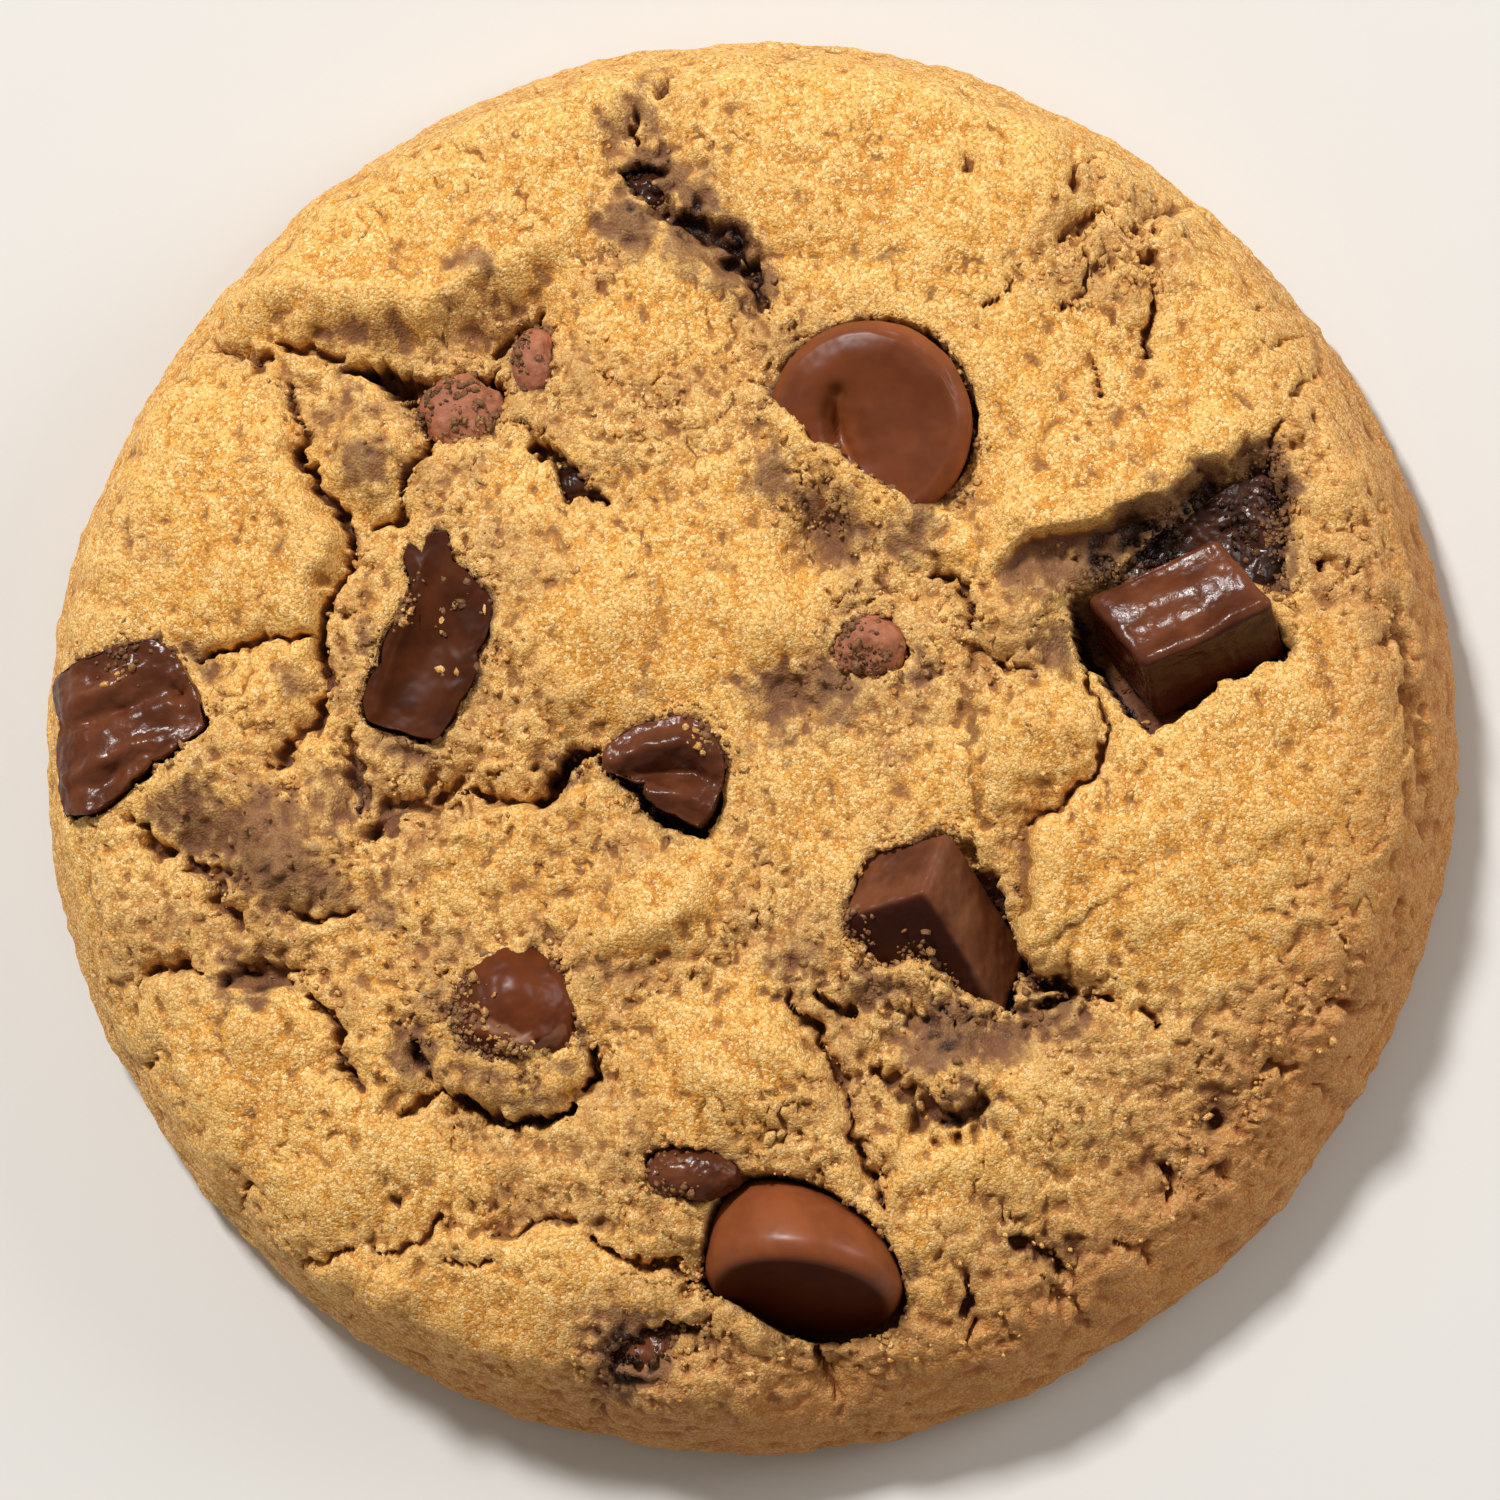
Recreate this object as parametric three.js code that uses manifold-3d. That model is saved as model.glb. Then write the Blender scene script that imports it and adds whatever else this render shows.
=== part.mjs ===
// A thick, soft chocolate chip cookie, 76 mm across: one baked disc of dough whose cracked top holds
// drop chips and cut chunks of chocolate, each a solid of its own in a pocket of the dough.
// Millimetres, +Z up. The origin is the middle of the flat underside.
import * as THREE from "three";
import { mergeVertices } from "three/addons/utils/BufferGeometryUtils.js";
import Module from "manifold-3d";

const wasm = await Module();
wasm.setup();

// Driving dimensions of the dough
const radius = 38; // of the foot, which is the widest place
const footHeight = 1.6; // where the foot is widest
const undersideRadius = 36.6; // of the flat face that the cookie lies on
const shoulderHeight = 7.4; // where the steep side starts to turn into the top
const rimHeight = 10.1; // of the top, where the shoulder meets it
const rimInset = 4.2; // from the foot's radius to that place
const crown = 2.7; // rise of the middle above the rim
const crownPower = 2.6; // a flat middle that falls off near the rim
const outlineWave = 0.45; // deepest dent of the nearly round outline
const outlineDents = 3; // how many dents a radian of it has, about
const flankWave = 0.3; // depth of the folds of the side
const flankFolds = 9; // how many folds a radian of it has, about
const shoulderSlump = 1.5; // how much lower the shoulder lies at the lower right
const slumpAngle = -50; // where it is lowest, in degrees from +X
const slumpStart = 23; // the radius from which the top slumps, all of it at slumpEnd
const slumpEnd = 35;

// The side's section from the top's rim over the shoulder and foot to the underside: [inset, height]
const sideProfile = [
  [rimInset, rimHeight], [2.6, 9.4], [1.5, shoulderHeight], [0.75, 4.6], [0, footHeight],
  [radius - undersideRadius, 0],
];

// The ground of the top: two layers of noise, [size, height], and how sharply all relief ends at the rim
const ground = [[6, 0.5], [3, 0.4]];
const rimFade = 8;

// How the dough is divided: rings of the top, rings of the side
const topRings = 21;
const sideRings = sideProfile.length - 1;

// Fit of the chocolate in the dough
const pocketGap = 0.35;

// The top's places were read in the photograph. The surface stands above the height that the camera is
// aimed at, so they lie this much further right and down than they look.
const readingShift = 1;

// A crack's path is [x, y, ...] places. wide and deep are its section. step lifts the ground on the left
// of the path and sinks it on the right, which carries further the larger the step is.
const cracks = [
  { path: [-31, 22.5, -26, 21.5, -22, 21.3, -19, 20, -13.3, 19.3], wide: 1.3, deep: 3.2, step: 1.3 },
  { path: [-14, 20.2, -13.9, 21.5, -11.5, 23.2], wide: 0.7, deep: 1.6, step: 0.5 },
  { path: [-24, 19.5, -24, 16, -21.1, 11, -22.8, 7, -22, 3, -25, -1], wide: 0.9, deep: 2.2, step: -0.3 },
  { path: [-22.8, 6.3, -27, 5.6, -29.8, 5.3], wide: 0.6, deep: 1.2, step: 0.2 },
  { path: [-17.2, 18.5, -17.2, 16, -18.6, 12.5, -21, 11.8], wide: 0.7, deep: 1.6, step: 0.3 },
  { path: [-12, 17.5, -10, 15, -7.5, 13], wide: 1.2, deep: 2.4, step: 0.5 },
  { path: [-5, 36, -6.2, 32.5, -6.3, 30.7, -3, 27.5, -0.8, 26.5, 0.4, 23], wide: 1.5, deep: 3, step: 0.9 },
  { path: [10, 9, 11.8, 6, 15, 3.8], wide: 0.7, deep: 1.5, step: 0.3 },
  { path: [17.5, 4.5, 18.6, 1, 17, -2.8, 15, -4.2], wide: 0.8, deep: 1.5, step: 0.5 },
  { path: [12, 7.5, 15, 10.5, 19, 11, 22, 13, 27.5, 17], wide: 1.4, deep: 2.5, step: 1.4 },
  { path: [15, -4, 14.5, -7, 13.6, -10.8, 15.5, -12, 22, -13.6], wide: 1, deep: 2.2, step: 1.2 },
  { path: [5.5, -16, 8, -18, 10, -19.5, 12, -18.8], wide: 0.9, deep: 1.8, step: -0.5 },
  { path: [2, -13, 4.5, -17, 6, -22, 6.8, -24], wide: 0.7, deep: 1.4, step: -0.9 },
  { path: [-24, -26.5, -17, -25, -9.5, -24.8, -3, -28], wide: 0.7, deep: 1.2, step: 0.5 },
  { path: [-8.8, -35, -6.5, -31.5, -3, -30.6], wide: 1.5, deep: 2.8, step: 0.4 },
  { path: [3.3, -31.5, 3.5, -33, 4, -34.5], wide: 0.8, deep: 1.6, step: 0 },
  { path: [-16, -18, -13, -19.5, -10.5, -19.3, -8.3, -15], wide: 0.9, deep: 1.8, step: 0.3 },
  { path: [-33, -11.8, -29.5, -10.5, -26, -11.3, -22.8, -13, -20, -17.8], wide: 0.8, deep: 1.6, step: 0.4 },
  { path: [-32.5, -3.5, -30, -5.5, -27.8, -7, -27, -10.5], wide: 1, deep: 1.8, step: 0.4 },
  { path: [-20, -5, -17.5, -2.3, -12.5, -3, -9.6, -0.8, -8, -0.3], wide: 1.2, deep: 2, step: -0.9 },
];

const endShare = 0.5; // of its width and depth, left at a crack's ends
const leastReach = 2; // how far a step of no height would carry, and how much further each millimetre does
const reachGain = 2.4;
const bladeCheek = 6; // how far the blade that cuts a crack stands out of the dough

// Lumps and hollows of the top: [x, y, reach, rise]
const swells = [
  [-20.3, 15.5, 2.4, 0.8], [-24.5, -5.5, 3.6, 0.9], [-27, 0.3, 3.2, 0.6], [14, 7, 2.2, 0.8],
  [14.5, 0.8, 3.2, 0.7], [1, 7, 3.4, 1.2], [-12.5, -17, 3, 0.5], [-4, -8.5, 3.6, 1.3], [-1, -17, 4, 1.2],
  [11, -17, 2.8, 0.5], [5.5, 12.6, 2.2, 0.7], [25, -2, 8, 0.7], [9, -13.8, 2.6, -1.6], [26.2, 12, 2.6, -1.6],
  [-9, 8, 5, 0.9], [-25, 12, 6, 0.5], [-22, -20, 8, 0.5], [12, 28, 8, 0.5], [21, -23, 7, -0.4],
  [11, 14.5, 2.6, -0.8], [3.6, -32.6, 3, -1.2],
];

// Outlines of the flat melted pieces, [x, y, ...] counterclockwise round the piece's place
const outlines = {
  chunk_left: [
    -37.1, 4.4, -37.2, 3, -36.7, 1.7, -36.9, -0.7, -36.5, -2.8, -34.7, -2.8, -32.8, -1.2, -31.7, -0.2,
    -30.2, 0.6, -28.8, 1.5, -29.1, 2.5, -29.8, 4.2, -31, 5.7, -31.7, 6.1, -33.9, 5.6, -35.7, 5.1,
  ],
  chunk_mid_left: [
    -16.8, 11.4, -17.2, 10.3, -17.9, 10.9, -18.2, 10.1, -17.8, 8.3, -18.4, 6.7, -19.3, 4.6, -20.3, 2.5,
    -20.1, 1.6, -18.3, 1, -16.4, 0.5, -15.9, 1.1, -15.2, 2.5, -14.3, 5.1, -13.6, 8, -14.4, 8.8,
    -15.6, 9.9, -15.9, 11.5,
  ],
  chunk_centre: [
    -7.6, -1.2, -6.6, -1.6, -5.3, -1.9, -3.7, -3.6, -2.6, -4.3, -1.9, -3.4, -1.5, -2.5, -1.3, -1.2,
    -2, 0.6, -2.9, 1.4, -4.8, 1.2, -6.6, 0.7, -7.3, -0.1,
  ],
  melt_right: [
    18.4, 8.9, 20.4, 8, 23, 8.6, 25.4, 9, 27.8, 8, 28.2, 10.7, 27.6, 13, 26.8, 14.3, 24.6, 13.4,
    22.8, 12, 20.1, 10.4,
  ],
};

// Chocolate. at is the middle's place and rise its height over the plain top. edges are the three edges of
// a cut chunk. A drop chip has its base's middle at its place, its tip points along tip, its cone has
// slumped by lean and its base is hollow by dish. A slab lies along the top by its outline, thick deep.
const chocolate = {
  chunk_right: { at: [22.8, 6.2], rise: -1.5, edges: [[6.9, 3.2, 0], [-3.1, 3.8, -2], [-0.5, 2.5, 4.2]] },
  chunk_lower: {
    at: [9.5, -9.9], rise: -2.3, edges: [[4.7, 1.2, 1.4], [1.1, 3.6, -1.7], [-3.6, 6.1, 5.5]],
  },
  chunk_left: { at: [-33, 1.5], rise: 0.25, outline: outlines.chunk_left, thick: 4 },
  chunk_mid_left: { at: [-16.9, 5.2], rise: 0.35, outline: outlines.chunk_mid_left, thick: 3.6 },
  chunk_centre: { at: [-4.2, -1.2], rise: 0.5, outline: outlines.chunk_centre, thick: 3.6 },
  melt_right: { at: [24.2, 10.2], rise: -1.9, outline: outlines.melt_right, thick: 2.5 },
  chip_top: { at: [6.2, 16.8], rise: 0.6, base: 5.4, height: 6.4, tip: [0.09, 0.07, -0.99], dish: 0.4 },
  chip_bottom: {
    at: [2.5, -28.7], rise: -1.5, base: 5.2, height: 6.3, tip: [0.1, 0.92, -0.36], lean: [-2.2, 0, 0],
  },
  chip_lower_left: { at: [-12.3, -13.9], rise: -3.7, base: 4.4, height: 5.3, tip: [-0.1, 0.2, 0.97] },
  chip_buried_upper: { at: [-15.3, 17.8], rise: -1.9, radii: [2.3, 2, 1.9] },
  chip_buried_oval: { at: [-11.5, 20.5], rise: -1.9, radii: [1.2, 2, 1.7] },
  chip_buried_centre: { at: [6.2, 5.2], rise: -1.1, radii: [2.1, 1.8, 1.8] },
  chip_curl_bottom: { at: [-3, -22.2], rise: -0.9, radii: [2.6, 1.5, 1.5] },
  bit_crevice_top: { at: [-5.7, 29.5], rise: -2.8, radii: [1.5, 1.5, 1.2] },
  bit_crevice_upper: { at: [-8.9, 13.9], rise: -2.4, radii: [1.6, 1.1, 1.2] },
  bit_crevice_bottom: { at: [-6, -31.3], rise: -3, radii: [2, 1.5, 1.2] },
};

// Chunks: rounding and unevenness in shares of the half edge, and faces crowded towards the edges
const bevelShare = 0.16;
const biteShare = 0.04;
const blockCells = 4;
const edgeCrowding = 0.5;

// Drop chips: a rounded rim under a cone, and where the flat base's rings lie in shares of its radius
const rimShare = 0.18; // of the height
const flankPower = 0.92; // less than 1 makes the flank fuller
const climbPower = 1.15;
const baseRings = [0, 0.55, 0.8];
const cornerInset = 0.1; // from the rim to where the base is flat, of the base's radius
const dropSides = 16;
const dropSteps = 6;

// Slabs: the foot is narrower than the outline, and the top's edge is rounded off
const slabFoot = 0.78;
const slabTop = 0.86;
const slabEdge = 0.5;

// Melted lumps
const lumpCells = 3;
const lumpUneven = 0.1;

const doughMaterial = new THREE.MeshStandardMaterial({ color: 0xd9a55f, roughness: 0.85, metalness: 0 });
const chocolateMaterial = new THREE.MeshStandardMaterial({ color: 0x5a3320, roughness: 0.4, metalness: 0 });

// Smooth noise between -1 and 1 on a lattice of unit cells, the same on every run. A lattice point's value
// is the fraction of a large multiple of a sine.
function latticeValue(i, j) {
  const s = Math.sin(i * 127.1 + j * 311.7) * 43758.5453;
  return 2 * (s - Math.floor(s)) - 1;
}

function noise(x, y) {
  const i = Math.floor(x);
  const j = Math.floor(y);
  const u = THREE.MathUtils.smoothstep(x - i, 0, 1);
  const v = THREE.MathUtils.smoothstep(y - j, 0, 1);
  const low = THREE.MathUtils.lerp(latticeValue(i, j), latticeValue(i + 1, j), u);
  const high = THREE.MathUtils.lerp(latticeValue(i, j + 1), latticeValue(i + 1, j + 1), u);
  return THREE.MathUtils.lerp(low, high, v);
}

// A crack's path as points in the cookie's own frame
function pathPoints(crack) {
  const points = [];
  for (let i = 0; i < crack.path.length; i += 2) {
    points.push(new THREE.Vector2(crack.path[i] + readingShift, crack.path[i + 1] - readingShift));
  }
  return points;
}

// Where (x, y) lies beside a path: its distance, the side it is on, and how far along it is, 0 to 1
function besidePath(points, x, y) {
  let best = { distance: Infinity, side: 0, along: 0 };
  for (let i = 0; i + 1 < points.length; i++) {
    const a = points[i];
    const run = points[i + 1].clone().sub(a);
    const away = new THREE.Vector2(x, y).sub(a);
    const share = THREE.MathUtils.clamp(away.dot(run) / run.lengthSq(), 0, 1);
    const distance = away.distanceTo(run.clone().multiplyScalar(share));
    if (distance < best.distance) {
      best = { distance, side: Math.sign(run.cross(away)), along: (i + share) / (points.length - 1) };
    }
  }
  return best;
}

// The plain dome of the top, without its cracks and lumps
function domeHeight(x, y) {
  const share = Math.min(1, Math.hypot(x, y) / (radius - rimInset));
  return rimHeight + crown * (1 - share ** crownPower);
}

// The dome inside the rim, and the shoulder's section beyond it
function plainHeight(x, y) {
  const inset = radius - Math.hypot(x, y);
  const outer = sideProfile.findIndex((corner) => corner[0] <= inset);
  if (outer === 0) return domeHeight(x, y);
  const [nearInset, nearHeight] = sideProfile[outer - 1];
  const [farInset, farHeight] = sideProfile[outer];
  return THREE.MathUtils.mapLinear(inset, farInset, nearInset, farHeight, nearHeight);
}

// How much the shoulder has slumped at a place: most at one angle, near the rim and high on the side
function slump(x, y, z) {
  const facing = Math.cos(Math.atan2(y, x) - THREE.MathUtils.degToRad(slumpAngle));
  const outward = THREE.MathUtils.smoothstep(Math.hypot(x, y), slumpStart, slumpEnd);
  const upward = THREE.MathUtils.smoothstep(z, footHeight, rimHeight);
  return shoulderSlump * Math.max(0, facing) ** 2 * outward * upward;
}

const crackPaths = cracks.map(pathPoints);
const stepReach = (crack) => leastReach + reachGain * Math.abs(crack.step);

// Dome + lumps + the steps beside the cracks + noise, all faded out at the rim
function topHeight(x, y) {
  let relief = 0;
  for (const [size, height] of ground) relief += height * noise(x / size + size, y / size);
  for (const [sx, sy, reach, rise] of swells) {
    const far = Math.hypot(x - sx - readingShift, y - sy + readingShift) / reach;
    relief += rise * Math.exp(-far * far);
  }
  cracks.forEach((crack, i) => {
    const { distance, side, along } = besidePath(crackPaths[i], x, y);
    const taper = Math.sqrt(Math.sin(Math.PI * along));
    relief += (crack.step / 2) * side * taper * Math.exp(-((distance / stepReach(crack)) ** 2));
  });
  const inner = Math.min(1, Math.hypot(x, y) / (radius - rimInset));
  const height = domeHeight(x, y) + relief * (1 - inner ** rimFade);
  return height - slump(x, y, height);
}

// The outline's radius at an angle. Its dents vanish on the axes, so the cookie is its full size there.
function outlineRadius(angle) {
  const dent = 0.5 + 0.5 * noise(outlineDents * Math.cos(angle), outlineDents * Math.sin(angle));
  return radius - outlineWave * dent * Math.sin(2 * angle) ** 2;
}

// The dough: rings of 8 k points, ring by ring outward over the top, then the last ring's points carried
// down the side, closed by a fan under it
function doughGeometry() {
  const positions = [];
  const faces = [];
  const ringStart = [];
  const ringPoint = (k, j) => ringStart[k] + (k === 0 ? 0 : ((j % (8 * k)) + 8 * k) % (8 * k));
  for (let k = 0; k <= topRings; k++) {
    ringStart.push(positions.length / 3);
    for (let j = 0; j < Math.max(1, 8 * k); j++) {
      const angle = k === 0 ? 0 : (2 * Math.PI * j) / (8 * k);
      const r = (k / topRings) * (outlineRadius(angle) - rimInset);
      const x = r * Math.cos(angle);
      const y = r * Math.sin(angle);
      positions.push(x, y, topHeight(x, y));
    }
  }
  for (let k = 1; k <= topRings; k++) {
    for (let eighth = 0; eighth < 8; eighth++) {
      for (let j = 0; j < k; j++) {
        const outer = eighth * k + j;
        const inner = eighth * (k - 1) + j;
        faces.push(ringPoint(k - 1, inner), ringPoint(k, outer), ringPoint(k, outer + 1));
        if (j === k - 1) continue;
        faces.push(ringPoint(k - 1, inner), ringPoint(k, outer + 1), ringPoint(k - 1, inner + 1));
      }
    }
  }
  const around = 8 * topRings;
  for (let s = 1; s <= sideRings; s++) {
    const above = positions.length / 3 - around;
    const [inset, height] = sideProfile[s];
    for (let j = 0; j < around; j++) {
      const angle = (2 * Math.PI * j) / around;
      const fold = s < sideRings - 1 ? flankWave * noise(flankFolds * angle, height) : 0;
      const r = outlineRadius(angle) - inset + Math.min(0, fold);
      const x = r * Math.cos(angle);
      const y = r * Math.sin(angle);
      positions.push(x, y, height - slump(x, y, height));
    }
    for (let j = 0; j < around; j++) {
      const next = (j + 1) % around;
      faces.push(above + j, above + around + j, above + around + next);
      faces.push(above + j, above + around + next, above + next);
    }
  }
  const lastRing = positions.length / 3 - around;
  positions.push(0, 0, 0);
  for (let j = 0; j < around; j++) faces.push(lastRing + j, lastRing + around, lastRing + ((j + 1) % around));
  return meshGeometry(positions, faces);
}

function meshGeometry(positions, faces) {
  const geometry = new THREE.BufferGeometry();
  geometry.setAttribute("position", new THREE.Float32BufferAttribute(positions, 3));
  geometry.setIndex(faces);
  return geometry;
}

// A crack's blade: a five-sided section, a V with upright cheeks, swept along the path
function crackBlade(crack, points) {
  const positions = [];
  const faces = [];
  points.forEach((point, i) => {
    const before = points[Math.max(0, i - 1)];
    const after = points[Math.min(points.length - 1, i + 1)];
    const across = after.clone().sub(before).normalize();
    across.set(-across.y, across.x);
    const end = i === 0 || i === points.length - 1;
    const half = (end ? endShare : 1) * crack.wide / 2;
    const surface = topHeight(point.x, point.y);
    const floor = surface - (end ? endShare : 1) * crack.deep;
    const top = surface + bladeCheek;
    for (const [side, height] of [[0, floor], [1, surface], [1, top], [-1, top], [-1, surface]]) {
      positions.push(point.x + side * half * across.x, point.y + side * half * across.y, height);
    }
  });
  const corners = 5;
  for (let i = 0; i + 1 < points.length; i++) {
    for (let c = 0; c < corners; c++) {
      const a = i * corners + c;
      const b = i * corners + ((c + 1) % corners);
      faces.push(a, b, b + corners, a, b + corners, a + corners);
    }
  }
  const last = (points.length - 1) * corners;
  for (let c = 1; c + 1 < corners; c++) {
    faces.push(0, c + 1, c);
    faces.push(last, last + c, last + c + 1);
  }
  return meshGeometry(positions, faces);
}

// A cube's skin with its seams merged, each point of it moved by form(point)
function skinGeometry(cells, form) {
  const skin = new THREE.BoxGeometry(2, 2, 2, cells, cells, cells);
  skin.deleteAttribute("normal");
  skin.deleteAttribute("uv");
  return movedGeometry(mergeVertices(skin), form);
}

function movedGeometry(geometry, form) {
  const places = geometry.attributes.position;
  const point = new THREE.Vector3();
  for (let i = 0; i < places.count; i++) {
    point.fromBufferAttribute(places, i);
    form(point);
    places.setXYZ(i, point.x, point.y, point.z);
  }
  return geometry;
}

// A cut chunk: a slanted block on three edges, its corners and edges rounded off by melting
function chunkGeometry({ edges }, grow) {
  const half = edges.map((edge) => new THREE.Vector3(...edge));
  const scale = half.map((edge) => 0.5 + grow / edge.length());
  return skinGeometry(blockCells, (point) => {
    for (const axis of ["x", "y", "z"]) {
      point[axis] = Math.sign(point[axis]) * Math.abs(point[axis]) ** edgeCrowding;
    }
    const inner = point.clone().clampScalar(bevelShare - 1, 1 - bevelShare);
    const round = point.clone().sub(inner).normalize().multiplyScalar(bevelShare);
    const bite = 1 + biteShare * noise(3 * point.x + point.z, 3 * point.y - point.z);
    const [u, v, w] = inner.add(round).multiplyScalar(bite).toArray();
    point.set(0, 0, 0);
    point.addScaledVector(half[0], u * scale[0]).addScaledVector(half[1], v * scale[1]);
    point.addScaledVector(half[2], w * scale[2]);
  });
}

// A drop chip: a base with a rounded rim under a convex cone with a blunt tip, turned to its tip's direction.
// Its cone slumps sideways with the square of the height.
function dropGeometry({ base, height, tip, lean = [0, 0, 0], dish = 0 }, grow) {
  const wide = base + grow;
  const tall = height + grow;
  const rim = rimShare * height;
  const profile = baseRings.map((share, i) => {
    const hollow = grow === 0 && i + 1 < baseRings.length ? dish : 0;
    return new THREE.Vector2(share * wide, hollow - grow);
  });
  profile.push(new THREE.Vector2(wide - cornerInset * base, -grow));
  for (let i = 0; i <= dropSteps; i++) {
    const climb = (i / dropSteps) * (Math.PI / 2);
    const r = i === dropSteps ? 0 : wide * Math.cos(climb) ** flankPower;
    profile.push(new THREE.Vector2(r, rim + (tall - rim) * Math.sin(climb) ** climbPower));
  }
  const lathe = new THREE.LatheGeometry(profile, dropSides);
  lathe.deleteAttribute("normal");
  lathe.deleteAttribute("uv");
  const geometry = mergeVertices(lathe, 1e-3);
  const axis = new THREE.Vector3(0, 1, 0); // of the lathe
  const turn = new THREE.Quaternion().setFromUnitVectors(axis, new THREE.Vector3(...tip).normalize());
  const slumped = new THREE.Vector3(...lean);
  return movedGeometry(geometry, (point) => {
    const climbed = THREE.MathUtils.clamp(point.y / height, 0, 1);
    point.applyQuaternion(turn).addScaledVector(slumped, climbed ** 2);
  });
}

// A melted lump: an uneven ellipsoid
function lumpGeometry({ radii }, grow) {
  return skinGeometry(lumpCells, (point) => {
    point.normalize();
    const uneven = 1 + lumpUneven * noise(2 * point.x, 2 * point.y + point.z);
    point.set(point.x * (radii[0] + grow), point.y * (radii[1] + grow), point.z * (radii[2] + grow));
    point.multiplyScalar(uneven);
  });
}

// A melted slab: rings of its outline from the foot up over the side to the top, which follows the dough's
// plain section, closed by a fan below and one above
function slabGeometry({ at, rise, outline, thick }, grow) {
  const middle = placeOf(at);
  const count = outline.length / 2;
  const rings = [[slabFoot, -thick - grow], [1, -slabEdge], [slabTop, 0]];
  const positions = [];
  const faces = [];
  for (const [share, drop] of rings) {
    for (let i = 0; i < count; i++) {
      const reach = new THREE.Vector2(outline[2 * i] - at[0], outline[2 * i + 1] - at[1]);
      reach.setLength(share * reach.length() + grow);
      const corner = middle.clone().add(reach);
      positions.push(corner.x, corner.y, plainHeight(corner.x, corner.y) + rise + drop + (drop < 0 ? 0 : grow));
    }
  }
  const level = plainHeight(middle.x, middle.y) + rise;
  positions.push(middle.x, middle.y, level - thick - grow, middle.x, middle.y, level + grow);
  const foot = rings.length * count;
  for (let i = 0; i < count; i++) {
    const next = (i + 1) % count;
    for (let k = 0; k + 1 < rings.length; k++) {
      const a = k * count;
      faces.push(a + i, a + next, a + count + next, a + i, a + count + next, a + count + i);
    }
    const last = foot - count;
    faces.push(foot, next, i, foot + 1, last + i, last + next);
  }
  return meshGeometry(positions, faces);
}

function placeOf(at) {
  return new THREE.Vector2(at[0] + readingShift, at[1] - readingShift);
}

// A piece of chocolate where it lies, grown by a gap when it is used to cut its own pocket
function chocolateGeometry(piece, grow = 0) {
  if (piece.outline) return slabGeometry(piece, grow);
  const form = piece.edges ? chunkGeometry : piece.base ? dropGeometry : lumpGeometry;
  const { x, y } = placeOf(piece.at);
  return form(piece, grow).translate(x, y, domeHeight(x, y) + piece.rise);
}

function solid(geometry) {
  const vertProperties = new Float32Array(geometry.attributes.position.array);
  const triVerts = new Uint32Array(geometry.index.array);
  return new wasm.Manifold(new wasm.Mesh({ numProp: 3, vertProperties, triVerts }));
}

// The largest piece of a body, without any scrap that a cut set loose
function largestGeometry(body) {
  const bodies = body.decompose().sort((a, b) => b.volume() - a.volume());
  const mesh = bodies[0].getMesh();
  return meshGeometry(Array.from(mesh.vertProperties), Array.from(mesh.triVerts));
}

// The dough with its pockets and cracks cut
function cutDough() {
  let body = solid(doughGeometry());
  for (const piece of Object.values(chocolate)) {
    body = body.subtract(solid(chocolateGeometry(piece, pocketGap)));
  }
  cracks.forEach((crack, i) => {
    body = body.subtract(solid(crackBlade(crack, crackPaths[i])));
  });
  return largestGeometry(body);
}

// What ran out of the right chunk lies against it, so that chunk is cut from it as from the dough
function runMelt() {
  const chunk = solid(chocolateGeometry(chocolate.chunk_right, pocketGap));
  return largestGeometry(solid(chocolateGeometry(chocolate.melt_right)).subtract(chunk));
}

function namedMesh(name, geometry, material) {
  const mesh = new THREE.Mesh(geometry, material);
  mesh.name = name;
  return mesh;
}

const group = new THREE.Group();
group.add(namedMesh("cookie_dough", cutDough(), doughMaterial));
for (const [name, piece] of Object.entries(chocolate)) {
  const geometry = name === "melt_right" ? runMelt() : chocolateGeometry(piece);
  group.add(namedMesh(name, geometry, chocolateMaterial));
}

export default group;
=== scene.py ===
import math
import bpy
import numpy as np
from mathutils import Matrix, Vector


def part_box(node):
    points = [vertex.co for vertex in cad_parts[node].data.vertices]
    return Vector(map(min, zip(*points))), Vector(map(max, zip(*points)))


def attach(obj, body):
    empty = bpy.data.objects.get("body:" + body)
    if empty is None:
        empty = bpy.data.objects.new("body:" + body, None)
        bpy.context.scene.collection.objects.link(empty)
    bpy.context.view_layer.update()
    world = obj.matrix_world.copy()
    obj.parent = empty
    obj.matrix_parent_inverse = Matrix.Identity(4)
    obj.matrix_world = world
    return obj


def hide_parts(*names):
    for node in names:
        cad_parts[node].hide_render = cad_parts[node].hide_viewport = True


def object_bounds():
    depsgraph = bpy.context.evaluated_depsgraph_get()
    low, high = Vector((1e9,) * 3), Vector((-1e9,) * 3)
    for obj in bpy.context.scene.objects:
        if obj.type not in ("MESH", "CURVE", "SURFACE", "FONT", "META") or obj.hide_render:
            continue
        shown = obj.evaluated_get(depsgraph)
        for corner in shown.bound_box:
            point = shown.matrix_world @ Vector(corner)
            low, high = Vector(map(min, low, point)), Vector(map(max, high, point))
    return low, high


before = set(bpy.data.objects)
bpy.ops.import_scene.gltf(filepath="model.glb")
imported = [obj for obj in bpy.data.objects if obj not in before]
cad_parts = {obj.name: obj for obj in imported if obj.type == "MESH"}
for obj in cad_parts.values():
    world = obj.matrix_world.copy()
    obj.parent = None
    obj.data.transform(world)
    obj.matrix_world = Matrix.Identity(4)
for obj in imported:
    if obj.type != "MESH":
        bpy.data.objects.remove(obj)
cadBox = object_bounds()

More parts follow.
